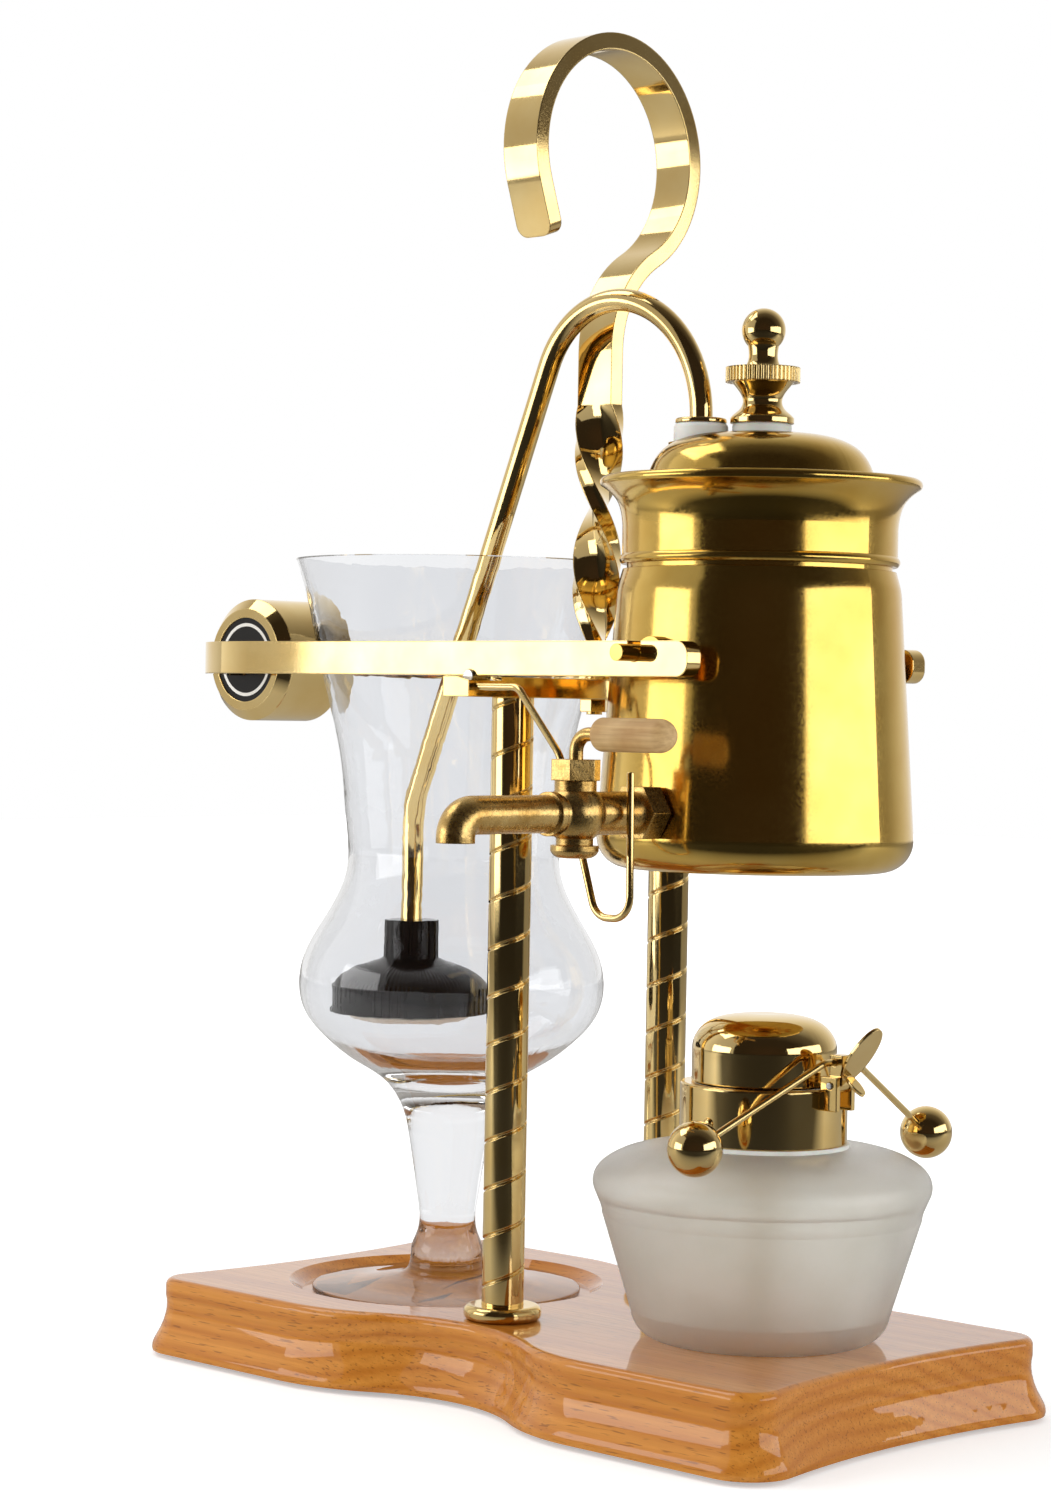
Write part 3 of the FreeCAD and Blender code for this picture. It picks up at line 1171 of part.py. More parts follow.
def make_lamp():
    """Spirit lamp: blown bottle, white ring, burner collar with rivets, wick tube and wick."""
    x = "lamp_x"
    low = "lamp_foot_radius"
    wide = "lamp_radius"
    neck = "lamp_neck_radius"
    wall = " - lamp_wall"
    high = "lamp_height"
    lip = "lamp_height + lamp_neck_height"
    bottle = spun([
        [("0", "0"), (low + " - 9.6", "0")],
        [(low + " - 9.6", "0"), (low + " - 3", "2"), (low + " + 0.4", "8.5")],
        [(low + " + 0.4", "8.5"), (wide + " - 2.95", high + " - 21")],
        [(wide + " - 2.95", high + " - 21"), (wide + " - 1.4", high + " - 16"),
         (wide, high + " - 11.6"), (wide + " - 1", high + " - 8"),
         (wide + " - 4.4", high + " - 4.8"), (wide + " - 8.8", high + " - 2.6"),
         (wide + " - 15", high + " - 1"), (neck + " + 2.4", high)],
        [(neck + " + 2.4", high), (neck, high)],
        [(neck, high), (neck, lip)],
        [(neck, lip), (neck + wall, lip)],
        [(neck + wall, lip), (neck + wall, high + wall)],
        [(neck + wall, high + wall), (wide + " - 15.4", high + " - 1.2" + wall),
         (wide + " - 9.8", high + " - 2.5" + wall), (wide + " - 3.4" + wall, high + " - 4.5" + wall),
         (wide + " - 0.9" + wall, high + " - 9.4"), (wide + wall, high + " - 12"),
         (wide + " - 1.4" + wall, high + " - 16")],
        [(wide + " - 1.4" + wall, high + " - 16"), (low + " + 0.4" + wall, "9")],
        [(low + " + 0.4" + wall, "9"), (low + " - 3" + wall, "lamp_wall + 2"), (low + " - 9.6", "lamp_wall")],
        [(low + " - 9.6", "lamp_wall"), ("0", "lamp_wall")],
    ], x, "0", "base_top")
    node("lamp_bottle", bottle)
    around = "lamp_neck_radius + fit_clearance"
    ring = turned([(around, "0"), ("lamp_ring_radius", "0"), ("lamp_ring_radius", "lamp_ring_height"),
                   (around, "lamp_ring_height")], x, "0", "lamp_shoulder")
    node("lamp_neck_ring", ring)
    tube = "wick_radius + wick_tube_wall"
    inner = "burner_radius - burner_wall"
    under = "burner_height - burner_wall"
    collar = turned([(tube + " + fit_clearance", under), (inner, under), (inner, "0"), ("burner_radius", "0"),
                     ("burner_radius", "burner_height"), (tube + " + fit_clearance", "burner_height")],
                    x, "0", "burner_bottom")
    node("lamp_collar", rounded(collar, [("burner_radius", "burner_height", "burner_wall * 0.8")]))
    rivets = []
    for axis, place_x, place_y in (("-Y", x, "- burner_radius"), ("Y", x, "burner_radius"),
                                   ("-X", "lamp_x - burner_radius", "0")):
        rivets.append(spun([[("0", "0"), ("rivet_radius", "0")],
                            [("rivet_radius", "0"), ("rivet_radius - 0.4", "0.7"), ("rivet_radius - 1.3", "1")],
                            [("rivet_radius - 1.3", "1"), ("0", "1")]],
                           place_x, place_y, "burner_bottom + rivet_level", axis))
    node("collar_rivets", group(*rivets))
    deep = "wick_tube_depth"
    rise = "wick_tube_depth + wick_tube_rise"
    plate = "wick_tube_depth + 0.8"
    holder = turned([("wick_radius + fit_clearance", "0"), (tube, "0"), (tube, deep),
                     (tube + " + 4", deep), (tube + " + 4", plate), (tube, plate), (tube, rise),
                     ("wick_radius + fit_clearance", rise)], x, "0", "burner_top - wick_tube_depth")
    node("wick_tube", holder)
    wick = cylinder("wick_radius", "burner_top + wick_rise - base_top - lamp_wall - 1",
                    x, "0", "base_top + lamp_wall + 1")
    node("wick", wick)


def leaf(length, width, thickness, angle):
    """A flat oval leaf whose lower end lies at the origin, rising at an angle in the XZ plane."""
    oval = Part.Ellipse(Vector(length / 2, 0, 0), length / 2, width / 2)
    oval.Center = Vector(length / 2 - 1.2, 0, 0)
    plate = Part.Face(Part.Wire(oval.toShape())).extrude(Vector(0, 0, thickness))
    plate.rotate(Vector(), Vector(0, 1, 0), -angle)
    return plate


def make_snuffer():
    """Hinged cap that puts the flame out: bracket, pin, dome, arm, balanced rod and thumb leaf."""
    ear = "ear_thickness"
    outer = "ear_outer"
    back = box("2.4", "2 * ear_outer", "ear_drop - hinge_rise - 0.5",
               "lamp_x + burner_radius - 1", "- ear_outer", "hinge_z - ear_drop")
    ears = []
    for y in ("- ear_outer", "ear_outer - ear_thickness"):
        ears.append(box("hinge_reach - burner_radius + 2.6", ear, "ear_drop + 2.6",
                        "lamp_x + burner_radius", y, "hinge_z - ear_drop"))
    barrel = cylinder("burner_radius", "burner_height", "lamp_x", "0", "burner_bottom")
    pin_hole = cylinder("hinge_pin_radius + fit_clearance", "2 * ear_outer + 2",
                        "hinge_x", "- ear_outer - 1", "hinge_z", "Y")
    node("hinge_bracket", cut(fuse(back, *ears), barrel, pin_hole))
    node("hinge_pin", cylinder("hinge_pin_radius", "2 * ear_outer + 1.2", "hinge_x", "- ear_outer - 0.6",
                               "hinge_z", "Y"))
    radius = "snuffer_radius"
    high = "snuffer_height"
    inside = "snuffer_radius - snuffer_wall"
    roof = "snuffer_height - snuffer_wall"
    dome = spun([
        [(inside, "0"), (radius, "0")],
        [(radius, "0"), (radius, "snuffer_height - 11")],
        [(radius, "snuffer_height - 11"), ("snuffer_radius - 1", "snuffer_height - 6.6"),
         ("snuffer_radius - 4.6", "snuffer_height - 2.7"), ("snuffer_radius - 10.5", "snuffer_height - 0.6"),
         ("snuffer_radius - 16.5", high)],
        [("snuffer_radius - 16.5", high), ("0", high)],
        [("0", high), ("0", roof)],
        [("0", roof), (inside + " - 15.5", roof)],
        [(inside + " - 15.5", roof), (inside + " - 9.8", roof + " - 0.6"),
         (inside + " - 4.4", roof + " - 2.6"), (inside + " - 1", roof + " - 6.2"), (inside, roof + " - 10")],
        [(inside, roof + " - 10"), (inside, "0")],
    ], "lamp_x", "0", "snuffer_bottom")
    node("snuffer_cap", dome)
    tongue = box("hinge_reach - snuffer_radius + 1", "knuckle_width", "hinge_rise",
                 "lamp_x + snuffer_radius - 1", "- knuckle_half", "snuffer_bottom")
    knuckle = cylinder("knuckle_radius", "knuckle_width", "hinge_x", "- knuckle_half", "hinge_z", "Y")
    lug = box("lug_reach + rod_radius + 0.7", "knuckle_width", "lug_rise",
              "hinge_x - rod_radius - 0.7", "- knuckle_half", "hinge_z")
    cap_room = cylinder("snuffer_radius", "snuffer_height", "lamp_x", "0", "snuffer_bottom")
    pin_bore = cylinder("hinge_pin_radius + fit_clearance", "knuckle_width + 2",
                        "hinge_x", "- knuckle_half - 1", "hinge_z", "Y")
    rod_bore = cylinder("rod_radius + fit_clearance", "knuckle_width + 2",
                        "hinge_x", "- knuckle_half - 1", "hinge_z + rod_rise", "Y")
    node("snuffer_arm", cut(fuse(tongue, knuckle, lug), cap_room, pin_bore, rod_bore))
    level = "hinge_z + rod_rise"
    near = "hinge_z - ball_drop_near"
    far = "hinge_z - ball_drop_far"
    inset = "hinge_x - ball_inset"
    points = [vector(inset, "- ball_half", near), vector("hinge_x", "- rod_half", level),
              vector("hinge_x", "rod_half", level), vector(inset, "ball_half", far)]
    rod = node("weight_rod", shaped(bent_rod(points, [5.0, 5.0], amount("rod_radius"))))
    balls = []
    for y, low in (("- ball_half", near), ("ball_half", far)):
        balls.append(cut(ball("ball_radius", inset, y, low), rod))
    node("weight_balls", group(*balls))
    thick = amount("leaf_thickness")
    blade = leaf(amount("leaf_length"), amount("leaf_width"), thick, amount("leaf_angle"))
    tail = leaf(amount("tail_length"), amount("tail_width"), thick, amount("tail_angle"))
    blade = blade.fuse(tail)
    blade.translate(vector("hinge_x + lug_reach + 0.4", "0", "hinge_z + 2.1"))
    trim = box("10", "30", "40", "hinge_x + lug_reach - 10", "- 15", "hinge_z - 20")
    node("thumb_leaf", cut(shaped(blade), trim))


make_base()
make_posts()
make_crossbar()
make_handle()
make_beam()
make_counterweight()
make_kettle()
make_siphon()
make_filter()
make_filler_cap()
make_tap()
make_latch()
make_glass()
make_lamp()
make_snuffer()
doc.recompute()

for item in doc.Objects:
    if "Invalid" in item.State or "Error" in item.State:
        raise RuntimeError(f"{item.Label}: {item.State}")
for item in nodes:
    if item.Shape.isNull() or not item.Shape.isValid() or not item.Shape.Solids:
        raise RuntimeError(f"{item.Label}: no sound solid")

os.makedirs("parts", exist_ok=True)
for item in nodes:
    item.Shape.exportStep(os.path.join("parts", item.Label + ".step"))
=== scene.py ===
import json
import math

import bpy
from mathutils import Matrix, Vector

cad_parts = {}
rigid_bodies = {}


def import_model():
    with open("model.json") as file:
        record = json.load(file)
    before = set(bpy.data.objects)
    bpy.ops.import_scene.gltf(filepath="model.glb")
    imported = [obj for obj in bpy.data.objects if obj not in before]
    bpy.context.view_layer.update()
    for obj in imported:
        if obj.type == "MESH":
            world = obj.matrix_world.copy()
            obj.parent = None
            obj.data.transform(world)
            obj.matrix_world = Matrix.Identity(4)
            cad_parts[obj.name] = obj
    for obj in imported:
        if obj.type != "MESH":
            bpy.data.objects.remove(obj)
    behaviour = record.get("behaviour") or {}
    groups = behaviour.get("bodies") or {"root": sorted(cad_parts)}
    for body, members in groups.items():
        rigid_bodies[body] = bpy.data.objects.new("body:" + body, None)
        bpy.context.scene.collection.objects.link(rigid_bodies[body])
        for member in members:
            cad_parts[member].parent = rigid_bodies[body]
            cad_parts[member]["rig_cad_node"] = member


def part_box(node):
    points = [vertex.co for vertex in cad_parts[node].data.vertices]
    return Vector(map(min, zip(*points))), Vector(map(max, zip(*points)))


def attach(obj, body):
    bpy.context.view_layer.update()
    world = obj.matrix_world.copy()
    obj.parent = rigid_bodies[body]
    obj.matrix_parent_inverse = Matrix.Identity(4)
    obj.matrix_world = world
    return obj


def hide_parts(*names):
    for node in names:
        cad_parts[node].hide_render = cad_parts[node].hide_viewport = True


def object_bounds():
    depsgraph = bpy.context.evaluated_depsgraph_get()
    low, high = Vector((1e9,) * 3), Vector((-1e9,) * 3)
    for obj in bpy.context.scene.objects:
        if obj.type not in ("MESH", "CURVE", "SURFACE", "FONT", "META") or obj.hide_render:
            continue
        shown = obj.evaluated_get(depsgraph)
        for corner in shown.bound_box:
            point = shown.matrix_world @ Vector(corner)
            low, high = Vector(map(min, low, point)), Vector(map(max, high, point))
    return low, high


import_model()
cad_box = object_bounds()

MM = 0.001
UP = Vector((0, 0, 1))

# Sockets of a colour mix, by number because other kinds of mix share their names: the share, the first and
# second colour, and the result.
SHARE, FIRST, SECOND, MIXED = 0, 6, 7, 2

# A ring wave of scale 1 repeats every 0.314 m.
RING_WAVE = 0.314


# Colours, nodes and surfaces

def linear(code):
    """A colour written as it looks on screen, turned into the linear values that light adds up in."""
    out = []
    for start in (1, 3, 5):
        level = int(code[start:start + 2], 16) / 255
        out.append(level / 12.92 if level <= 0.04045 else ((level + 0.055) / 1.055) ** 2.4)
    return (*out, 1.0)


def per(size):
    """How often a pattern repeats in a metre, from the size of one repeat in millimetres."""
    return 1000 / size


def add(tree, kind, inputs=None, stops=(), **settings):
    """One shader node with its settings. An input is a fixed value or another node's output."""
    made = tree.nodes.new(kind)
    for name, value in settings.items():
        setattr(made, name, value)
    for socket, value in (inputs or {}).items():
        if isinstance(value, bpy.types.NodeSocket):
            tree.links.new(value, made.inputs[socket])
        else:
            made.inputs[socket].default_value = value
    for place, (at, colour) in enumerate(stops):
        elements = made.color_ramp.elements
        element = elements[place] if place < 2 else elements.new(at)
        element.position = at
        element.color = linear(colour)
    return made.outputs


def surface(name, **values):
    """A new material and its main shader, with the shader's fixed values, and the object's coordinates."""
    material = bpy.data.materials.new(name)
    material.use_nodes = True
    tree = material.node_tree
    shader = tree.nodes["Principled BSDF"]
    for socket, value in values.items():
        shader.inputs[socket.replace("_", " ")].default_value = value
    where = add(tree, "ShaderNodeTexCoord")["Object"]
    return material, tree, shader, where


def dress(tree, shader, **sources):
    """Lead finished patterns into the main shader."""
    for socket, source in sources.items():
        tree.links.new(source, shader.inputs[socket.replace("_", " ")])


# Woods

def lacquered_rubberwood():
    # Rubberwood, orange-tan stain, brushed gloss lacquer: straight fibres along the board, short dark pores
    # about 8 mm long, faint growth arcs on the ends, and a mirror-like skin that takes the lamps' light.
    material, tree, shader, where = surface("rubberwood, orange stain, gloss lacquer",
                                            Specular_IOR_Level=0.08, Coat_Weight=1.0, Coat_Roughness=0.03,
                                            Coat_IOR=1.5)
    # Growth rings 4.6 mm apart, round a heart that lies below the board and is pushed about by a slow drift.
    along = add(tree, "ShaderNodeMapping", {"Vector": where, "Scale": (0.06, 1, 1)})["Vector"]
    drift = add(tree, "ShaderNodeTexNoise", {"Vector": along, "Scale": per(30), "Detail": 2.0})["Fac"]
    pushed = add(tree, "ShaderNodeVectorMath", {0: drift, 1: (0, 10 * MM, 6 * MM), 2: where},
                 operation="MULTIPLY_ADD")["Vector"]
    heart = add(tree, "ShaderNodeMapping", {"Vector": pushed, "Location": (0, 20 * MM, 110 * MM)})["Vector"]
    rings = add(tree, "ShaderNodeTexWave", {"Vector": heart, "Scale": RING_WAVE / (4.6 * MM),
                                            "Distortion": 0.7, "Detail": 2.0, "Detail Scale": 1.2},
                wave_type="RINGS", rings_direction="X")["Fac"]
    # Fibres 1.5 mm wide, pores 0.6 mm wide and broad shades 55 mm wide, all drawn out along the board.
    strand = add(tree, "ShaderNodeMapping", {"Vector": where, "Scale": (0.022, 1, 1)})["Vector"]
    fibres = add(tree, "ShaderNodeTexNoise", {"Vector": strand, "Scale": per(1.5), "Detail": 4.0,
                                              "Roughness": 0.62})["Fac"]
    dash = add(tree, "ShaderNodeMapping", {"Vector": where, "Scale": (0.075, 1, 1),
                                           "Location": (3, 1, 2)})["Vector"]
    pores = add(tree, "ShaderNodeTexNoise", {"Vector": dash, "Scale": per(0.6), "Detail": 1.0})["Fac"]
    broad = add(tree, "ShaderNodeTexNoise", {"Vector": along, "Scale": per(55), "Detail": 2.0})["Fac"]
    tone = add(tree, "ShaderNodeValToRGB", {"Fac": rings},
               [(0.0, "#DF963E"), (0.7, "#D68B34"), (1.0, "#CA7E2C")])["Color"]
    fibre_share = add(tree, "ShaderNodeMapRange", {"Value": fibres, "From Min": 0.35, "From Max": 0.75,
                                                   "To Max": 0.52})["Result"]
    streaked = add(tree, "ShaderNodeMix", {SHARE: fibre_share, FIRST: tone, SECOND: linear("#AE641B")},
                   data_type="RGBA")[MIXED]
    broad_share = add(tree, "ShaderNodeMapRange", {"Value": broad, "From Min": 0.4, "From Max": 0.72,
                                                   "To Max": 0.5})["Result"]
    shaded = add(tree, "ShaderNodeMix", {SHARE: broad_share, FIRST: streaked, SECOND: linear("#C2762A")},
                 data_type="RGBA")[MIXED]
    pore_share = add(tree, "ShaderNodeMapRange", {"Value": pores, "From Min": 0.62, "From Max": 0.70,
                                                  "To Max": 0.5})["Result"]
    finished = add(tree, "ShaderNodeMix", {SHARE: pore_share, FIRST: shaded, SECOND: linear("#6B3A15")},
                   data_type="RGBA")[MIXED]
    gloss = add(tree, "ShaderNodeMapRange", {"Value": fibres, "To Min": 0.36, "To Max": 0.52})["Result"]
    relief = add(tree, "ShaderNodeBump", {"Height": fibres, "Distance": 0.04 * MM, "Strength": 0.3})["Normal"]
    flow = add(tree, "ShaderNodeBump", {"Height": broad, "Distance": 0.2 * MM, "Strength": 0.1})["Normal"]
    dress(tree, shader, Base_Color=finished, Roughness=gloss, Normal=relief, Coat_Normal=flow)
    return material


def bare_maple():
    # Maple, turned and left bare: pale straw with long soft fibres along the handle and a dry, matt skin.
    material, tree, shader, where = surface("maple, turned and bare")
    strand = add(tree, "ShaderNodeMapping", {"Vector": where, "Scale": (0.05, 0.6, 1),
                                             "Rotation": (0, 0, 0.75)})["Vector"]
    fibres = add(tree, "ShaderNodeTexNoise", {"Vector": strand, "Scale": per(1.1), "Detail": 4.0,
                                              "Roughness": 0.6})["Fac"]
    broad = add(tree, "ShaderNodeTexNoise", {"Vector": where, "Scale": per(9), "Detail": 2.0})["Fac"]
    tone = add(tree, "ShaderNodeValToRGB", {"Fac": broad}, [(0.3, "#DDBB84"), (0.7, "#C59B62")])["Color"]
    share = add(tree, "ShaderNodeMapRange", {"Value": fibres, "From Min": 0.35, "From Max": 0.75,
                                             "To Max": 0.65})["Result"]
    finished = add(tree, "ShaderNodeMix", {SHARE: share, FIRST: tone, SECOND: linear("#A67A45")},
                   data_type="RGBA")[MIXED]
    gloss = add(tree, "ShaderNodeMapRange", {"Value": fibres, "To Min": 0.5, "To Max": 0.68})["Result"]
    relief = add(tree, "ShaderNodeBump", {"Height": fibres, "Distance": 0.06 * MM, "Strength": 0.5})["Normal"]
    dress(tree, shader, Base_Color=finished, Roughness=gloss, Normal=relief)
    return material


# Metals

def metal(name, light, deep, patch, gloss, grain, depth, wave, wave_size, edge):
    """A metal whose colour drifts over patches, with a fine grain in its gloss, slow waves and eased edges.

    patch, grain, depth, wave, wave_size and edge are in millimetres; gloss is the least and most roughness.
    """
    material, tree, shader, where = surface(name, Metallic=1.0)
    drift = add(tree, "ShaderNodeTexNoise", {"Vector": where, "Scale": per(patch), "Detail": 3.0})["Fac"]
    fine = add(tree, "ShaderNodeTexNoise", {"Vector": where, "Scale": per(grain), "Detail": 2.0})["Fac"]
    slow = add(tree, "ShaderNodeTexNoise", {"Vector": where, "Scale": per(wave_size), "Detail": 1.0})["Fac"]
    tone = add(tree, "ShaderNodeValToRGB", {"Fac": drift}, [(0.3, light), (0.75, deep)])["Color"]
    rough = add(tree, "ShaderNodeMapRange", {"Value": fine, "From Min": 0.3, "From Max": 0.7,
                                             "To Min": gloss[0], "To Max": gloss[1]})["Result"]
    eased = add(tree, "ShaderNodeBevel", {"Radius": edge * MM}, samples=6)["Normal"]
    under = add(tree, "ShaderNodeBump", {"Height": slow, "Distance": wave * MM, "Strength": 0.5,
                                         "Normal": eased})["Normal"]
    relief = add(tree, "ShaderNodeBump", {"Height": fine, "Distance": depth * MM, "Strength": 0.5,
                                          "Normal": under})["Normal"]
    dress(tree, shader, Base_Color=tone, Roughness=rough, Normal=relief)
    return material


def gold_plate():
    # Brass, polished and gold-plated: a clear mirror with a warm yellow cast and hair-fine wipe marks.
    return metal("brass, gold-plated, mirror polish", "#F2D798", "#E8C67F", patch=18, gloss=(0.03, 0.09),
                 grain=0.5, depth=0.003, wave=0.02, wave_size=14, edge=0.6)


def kettle_brass():
    # Brass, spun and buffed: a greener yellow, its mirror bent a little by the spinning.
    return metal("brass, spun and buffed", "#E4C26C", "#D2A64A", patch=26, gloss=(0.09, 0.19),
                 grain=0.7, depth=0.004, wave=0.12, wave_size=24, edge=0.4)


def cast_brass():
    # Brass, sand-cast and tumbled: a duller gold with a pebbled skin that breaks up every reflection.
    return metal("brass, sand-cast and tumbled", "#E2C07C", "#BF9650", patch=5, gloss=(0.2, 0.36),
                 grain=0.7, depth=0.06, wave=0.12, wave_size=2.4, edge=0.5)


def satin_steel():
    # Steel, turned: cool grey with a satin gloss.
    return metal("steel, turned, satin", "#C9CBCE", "#ACAEB2", patch=6, gloss=(0.16, 0.3),
                 grain=0.4, depth=0.008, wave=0.02, wave_size=4, edge=0.3)


# Glass

def let_light_through(tree, shader, share):
    """Light passes the glass to what lies behind it, and a ray caught in the thick foot comes out again."""
    caught_after = 3.5
    path = add(tree, "ShaderNodeLightPath")
    onward = add(tree, "ShaderNodeMath", {0: path["Is Shadow Ray"], 1: path["Diffuse Depth"]},
                 operation="MAXIMUM", use_clamp=True)["Value"]
    lighting = add(tree, "ShaderNodeMath", {0: onward, 1: share}, operation="MULTIPLY")["Value"]
    caught = add(tree, "ShaderNodeMath", {0: path["Ray Depth"], 1: caught_after},
                 operation="GREATER_THAN")["Value"]
    passing = add(tree, "ShaderNodeMath", {0: lighting, 1: caught}, operation="MAXIMUM")["Value"]
    air = add(tree, "ShaderNodeBsdfTransparent")["BSDF"]
    both = add(tree, "ShaderNodeMixShader", {0: passing, 1: shader.outputs["BSDF"], 2: air})["Shader"]
    tree.links.new(both, tree.nodes["Material Output"].inputs["Surface"])


def clear_glass():
    # Borosilicate glass, blown: colourless and smooth, slow ripples from the blowing show in its highlights.
    material, tree, shader, where = surface("borosilicate glass, blown, clear", Transmission_Weight=1.0,
                                            IOR=1.47, Base_Color=linear("#F4F5F7"))
    slow = add(tree, "ShaderNodeTexNoise", {"Vector": where, "Scale": per(26), "Detail": 1.0})["Fac"]
    rough = add(tree, "ShaderNodeMapRange", {"Value": slow, "From Min": 0.3, "From Max": 0.7,
                                             "To Max": 0.012})["Result"]
    relief = add(tree, "ShaderNodeBump", {"Height": slow, "Distance": 0.02 * MM, "Strength": 0.15})["Normal"]
    dress(tree, shader, Roughness=rough, Normal=relief)
    let_light_through(tree, shader, share=1.0)
    return material


def frosted_glass():
    # Soda glass, pressed and acid-frosted: milky grey-white, light soaks through it but no shape does.
    material, tree, shader, where = surface("soda glass, pressed, acid-frosted", Transmission_Weight=0.9,
                                            IOR=1.5, Subsurface_Weight=0.2, Subsurface_Scale=0.02,
                                            Subsurface_Radius=(1.0, 1.0, 0.92))
    cloud = add(tree, "ShaderNodeTexNoise", {"Vector": where, "Scale": per(18), "Detail": 3.0})["Fac"]
    grain = add(tree, "ShaderNodeTexNoise", {"Vector": where, "Scale": per(0.4), "Detail": 2.0})["Fac"]
    tone = add(tree, "ShaderNodeValToRGB", {"Fac": cloud}, [(0.3, "#F8F7F2"), (0.7, "#ECEBE3")])["Color"]
    rough = add(tree, "ShaderNodeMapRange", {"Value": grain, "From Min": 0.3, "From Max": 0.7,
                                             "To Min": 0.36, "To Max": 0.48})["Result"]
    relief = add(tree, "ShaderNodeBump", {"Height": grain, "Distance": 0.03 * MM, "Strength": 0.4})["Normal"]
    dress(tree, shader, Base_Color=tone, Roughness=rough, Normal=relief)
    let_light_through(tree, shader, share=0.6)
    return material


# Moulded and woven pieces

def moulded(name, light, deep, patch, gloss, grain, depth, **values):
    """A moulded stuff with a faint mottle in its colour and a fine skin.

    patch, grain and depth are in millimetres; gloss is the least and most roughness.
    """
    material, tree, shader, where = surface(name, **values)
    drift = add(tree, "ShaderNodeTexNoise", {"Vector": where, "Scale": per(patch), "Detail": 3.0})["Fac"]
    fine = add(tree, "ShaderNodeTexNoise", {"Vector": where, "Scale": per(grain), "Detail": 3.0})["Fac"]
    tone = add(tree, "ShaderNodeValToRGB", {"Fac": drift}, [(0.3, light), (0.7, deep)])["Color"]
    rough = add(tree, "ShaderNodeMapRange", {"Value": fine, "From Min": 0.3, "From Max": 0.7,
                                             "To Min": gloss[0], "To Max": gloss[1]})["Result"]
    relief = add(tree, "ShaderNodeBump", {"Height": fine, "Distance": depth * MM, "Strength": 0.5})["Normal"]
    dress(tree, shader, Base_Color=tone, Roughness=rough, Normal=relief)
    return material


def white_silicone():
    # Silicone, cast: milk white, light sinks in at its edges, between satin and matt.
    return moulded("silicone, cast, white", "#F4F2EC", "#E4E1D8", patch=8, gloss=(0.38, 0.52), grain=0.4,
                   depth=0.02, Subsurface_Weight=0.3, Subsurface_Scale=0.004)


def filter_nylon():
    # Nylon, injection-moulded: near-black brown with a clear gloss.
    return moulded("nylon, moulded, dark brown", "#1A120F", "#100C0A", patch=9, gloss=(0.1, 0.17), grain=0.6,
                   depth=0.01, Specular_IOR_Level=0.2)


def ribbed_nylon():
    # The same nylon, with upright grip ribs about 1.4 mm apart moulded round the skirt, which is 6 mm high.
    material = filter_nylon()
    material.name = "nylon, moulded, dark brown, ribbed"
    rib_count = 108.0
    tree = material.node_tree
    shader = tree.nodes["Principled BSDF"]
    low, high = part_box("filter_top")
    middle = (low + high) / 2
    where = add(tree, "ShaderNodeTexCoord")["Object"]
    centred = add(tree, "ShaderNodeVectorMath", {0: where, 1: (middle.x, middle.y, low.z)},
                  operation="SUBTRACT")["Vector"]
    split = add(tree, "ShaderNodeSeparateXYZ", {"Vector": centred})
    turn = add(tree, "ShaderNodeMath", {0: split["Y"], 1: split["X"]}, operation="ARCTAN2")["Value"]
    many = add(tree, "ShaderNodeMath", {0: turn, 1: rib_count}, operation="MULTIPLY")["Value"]
    rib = add(tree, "ShaderNodeMath", {0: many}, operation="SINE")["Value"]
    skirt = add(tree, "ShaderNodeMapRange", {"Value": split["Z"], "From Min": 6.0 * MM, "From Max": 7.0 * MM,
                                             "To Min": 1.0, "To Max": 0.0})["Result"]
    height = add(tree, "ShaderNodeMath", {0: rib, 1: skirt}, operation="MULTIPLY")["Value"]
    relief = add(tree, "ShaderNodeBump", {"Height": height, "Distance": 0.22 * MM, "Strength": 1.0})["Normal"]
    dress(tree, shader, Normal=relief)
    return material


def foot_rubber():
    # Rubber, moulded: charcoal, dusty and matt.
    return moulded("rubber, moulded, black", "#262423", "#171616", patch=6, gloss=(0.62, 0.8), grain=0.5,
                   depth=0.04)


def weight_disc():
    # Card under a clear film: a black face with one plain pale ring, 11.9 mm in radius, round its middle.
    material, tree, shader, where = surface("card disc, black with a plain ring", Specular_IOR_Level=0.2)
    ring_radius = 11.9 * MM
    ring_half_width = 0.55 * MM
    low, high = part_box("counterweight_discs")
    middle = (low + high) / 2
    split = add(tree, "ShaderNodeSeparateXYZ", {"Vector": where})
    across = add(tree, "ShaderNodeCombineXYZ", {"X": split["X"], "Z": split["Z"]})["Vector"]
    reach = add(tree, "ShaderNodeVectorMath", {0: across, 1: (middle.x, 0, middle.z)},
                operation="DISTANCE")["Value"]
    ring = add(tree, "ShaderNodeMath", {0: reach, 1: ring_radius, 2: ring_half_width},
               operation="COMPARE")["Value"]
    fine = add(tree, "ShaderNodeTexNoise", {"Vector": where, "Scale": per(0.5), "Detail": 3.0})["Fac"]
    face = add(tree, "ShaderNodeValToRGB", {"Fac": fine}, [(0.3, "#1B1815"), (0.7, "#120F0D")])["Color"]
    finished = add(tree, "ShaderNodeMix", {SHARE: ring, FIRST: face, SECOND: linear("#F4F1EA")},
                   data_type="RGBA")[MIXED]
    rough = add(tree, "ShaderNodeMapRange", {"Value": fine, "To Min": 0.24, "To Max": 0.36})["Result"]
    relief = add(tree, "ShaderNodeBump", {"Height": fine, "Distance": 0.01 * MM, "Strength": 0.4})["Normal"]
    dress(tree, shader, Base_Color=finished, Roughness=rough, Normal=relief)
    return material


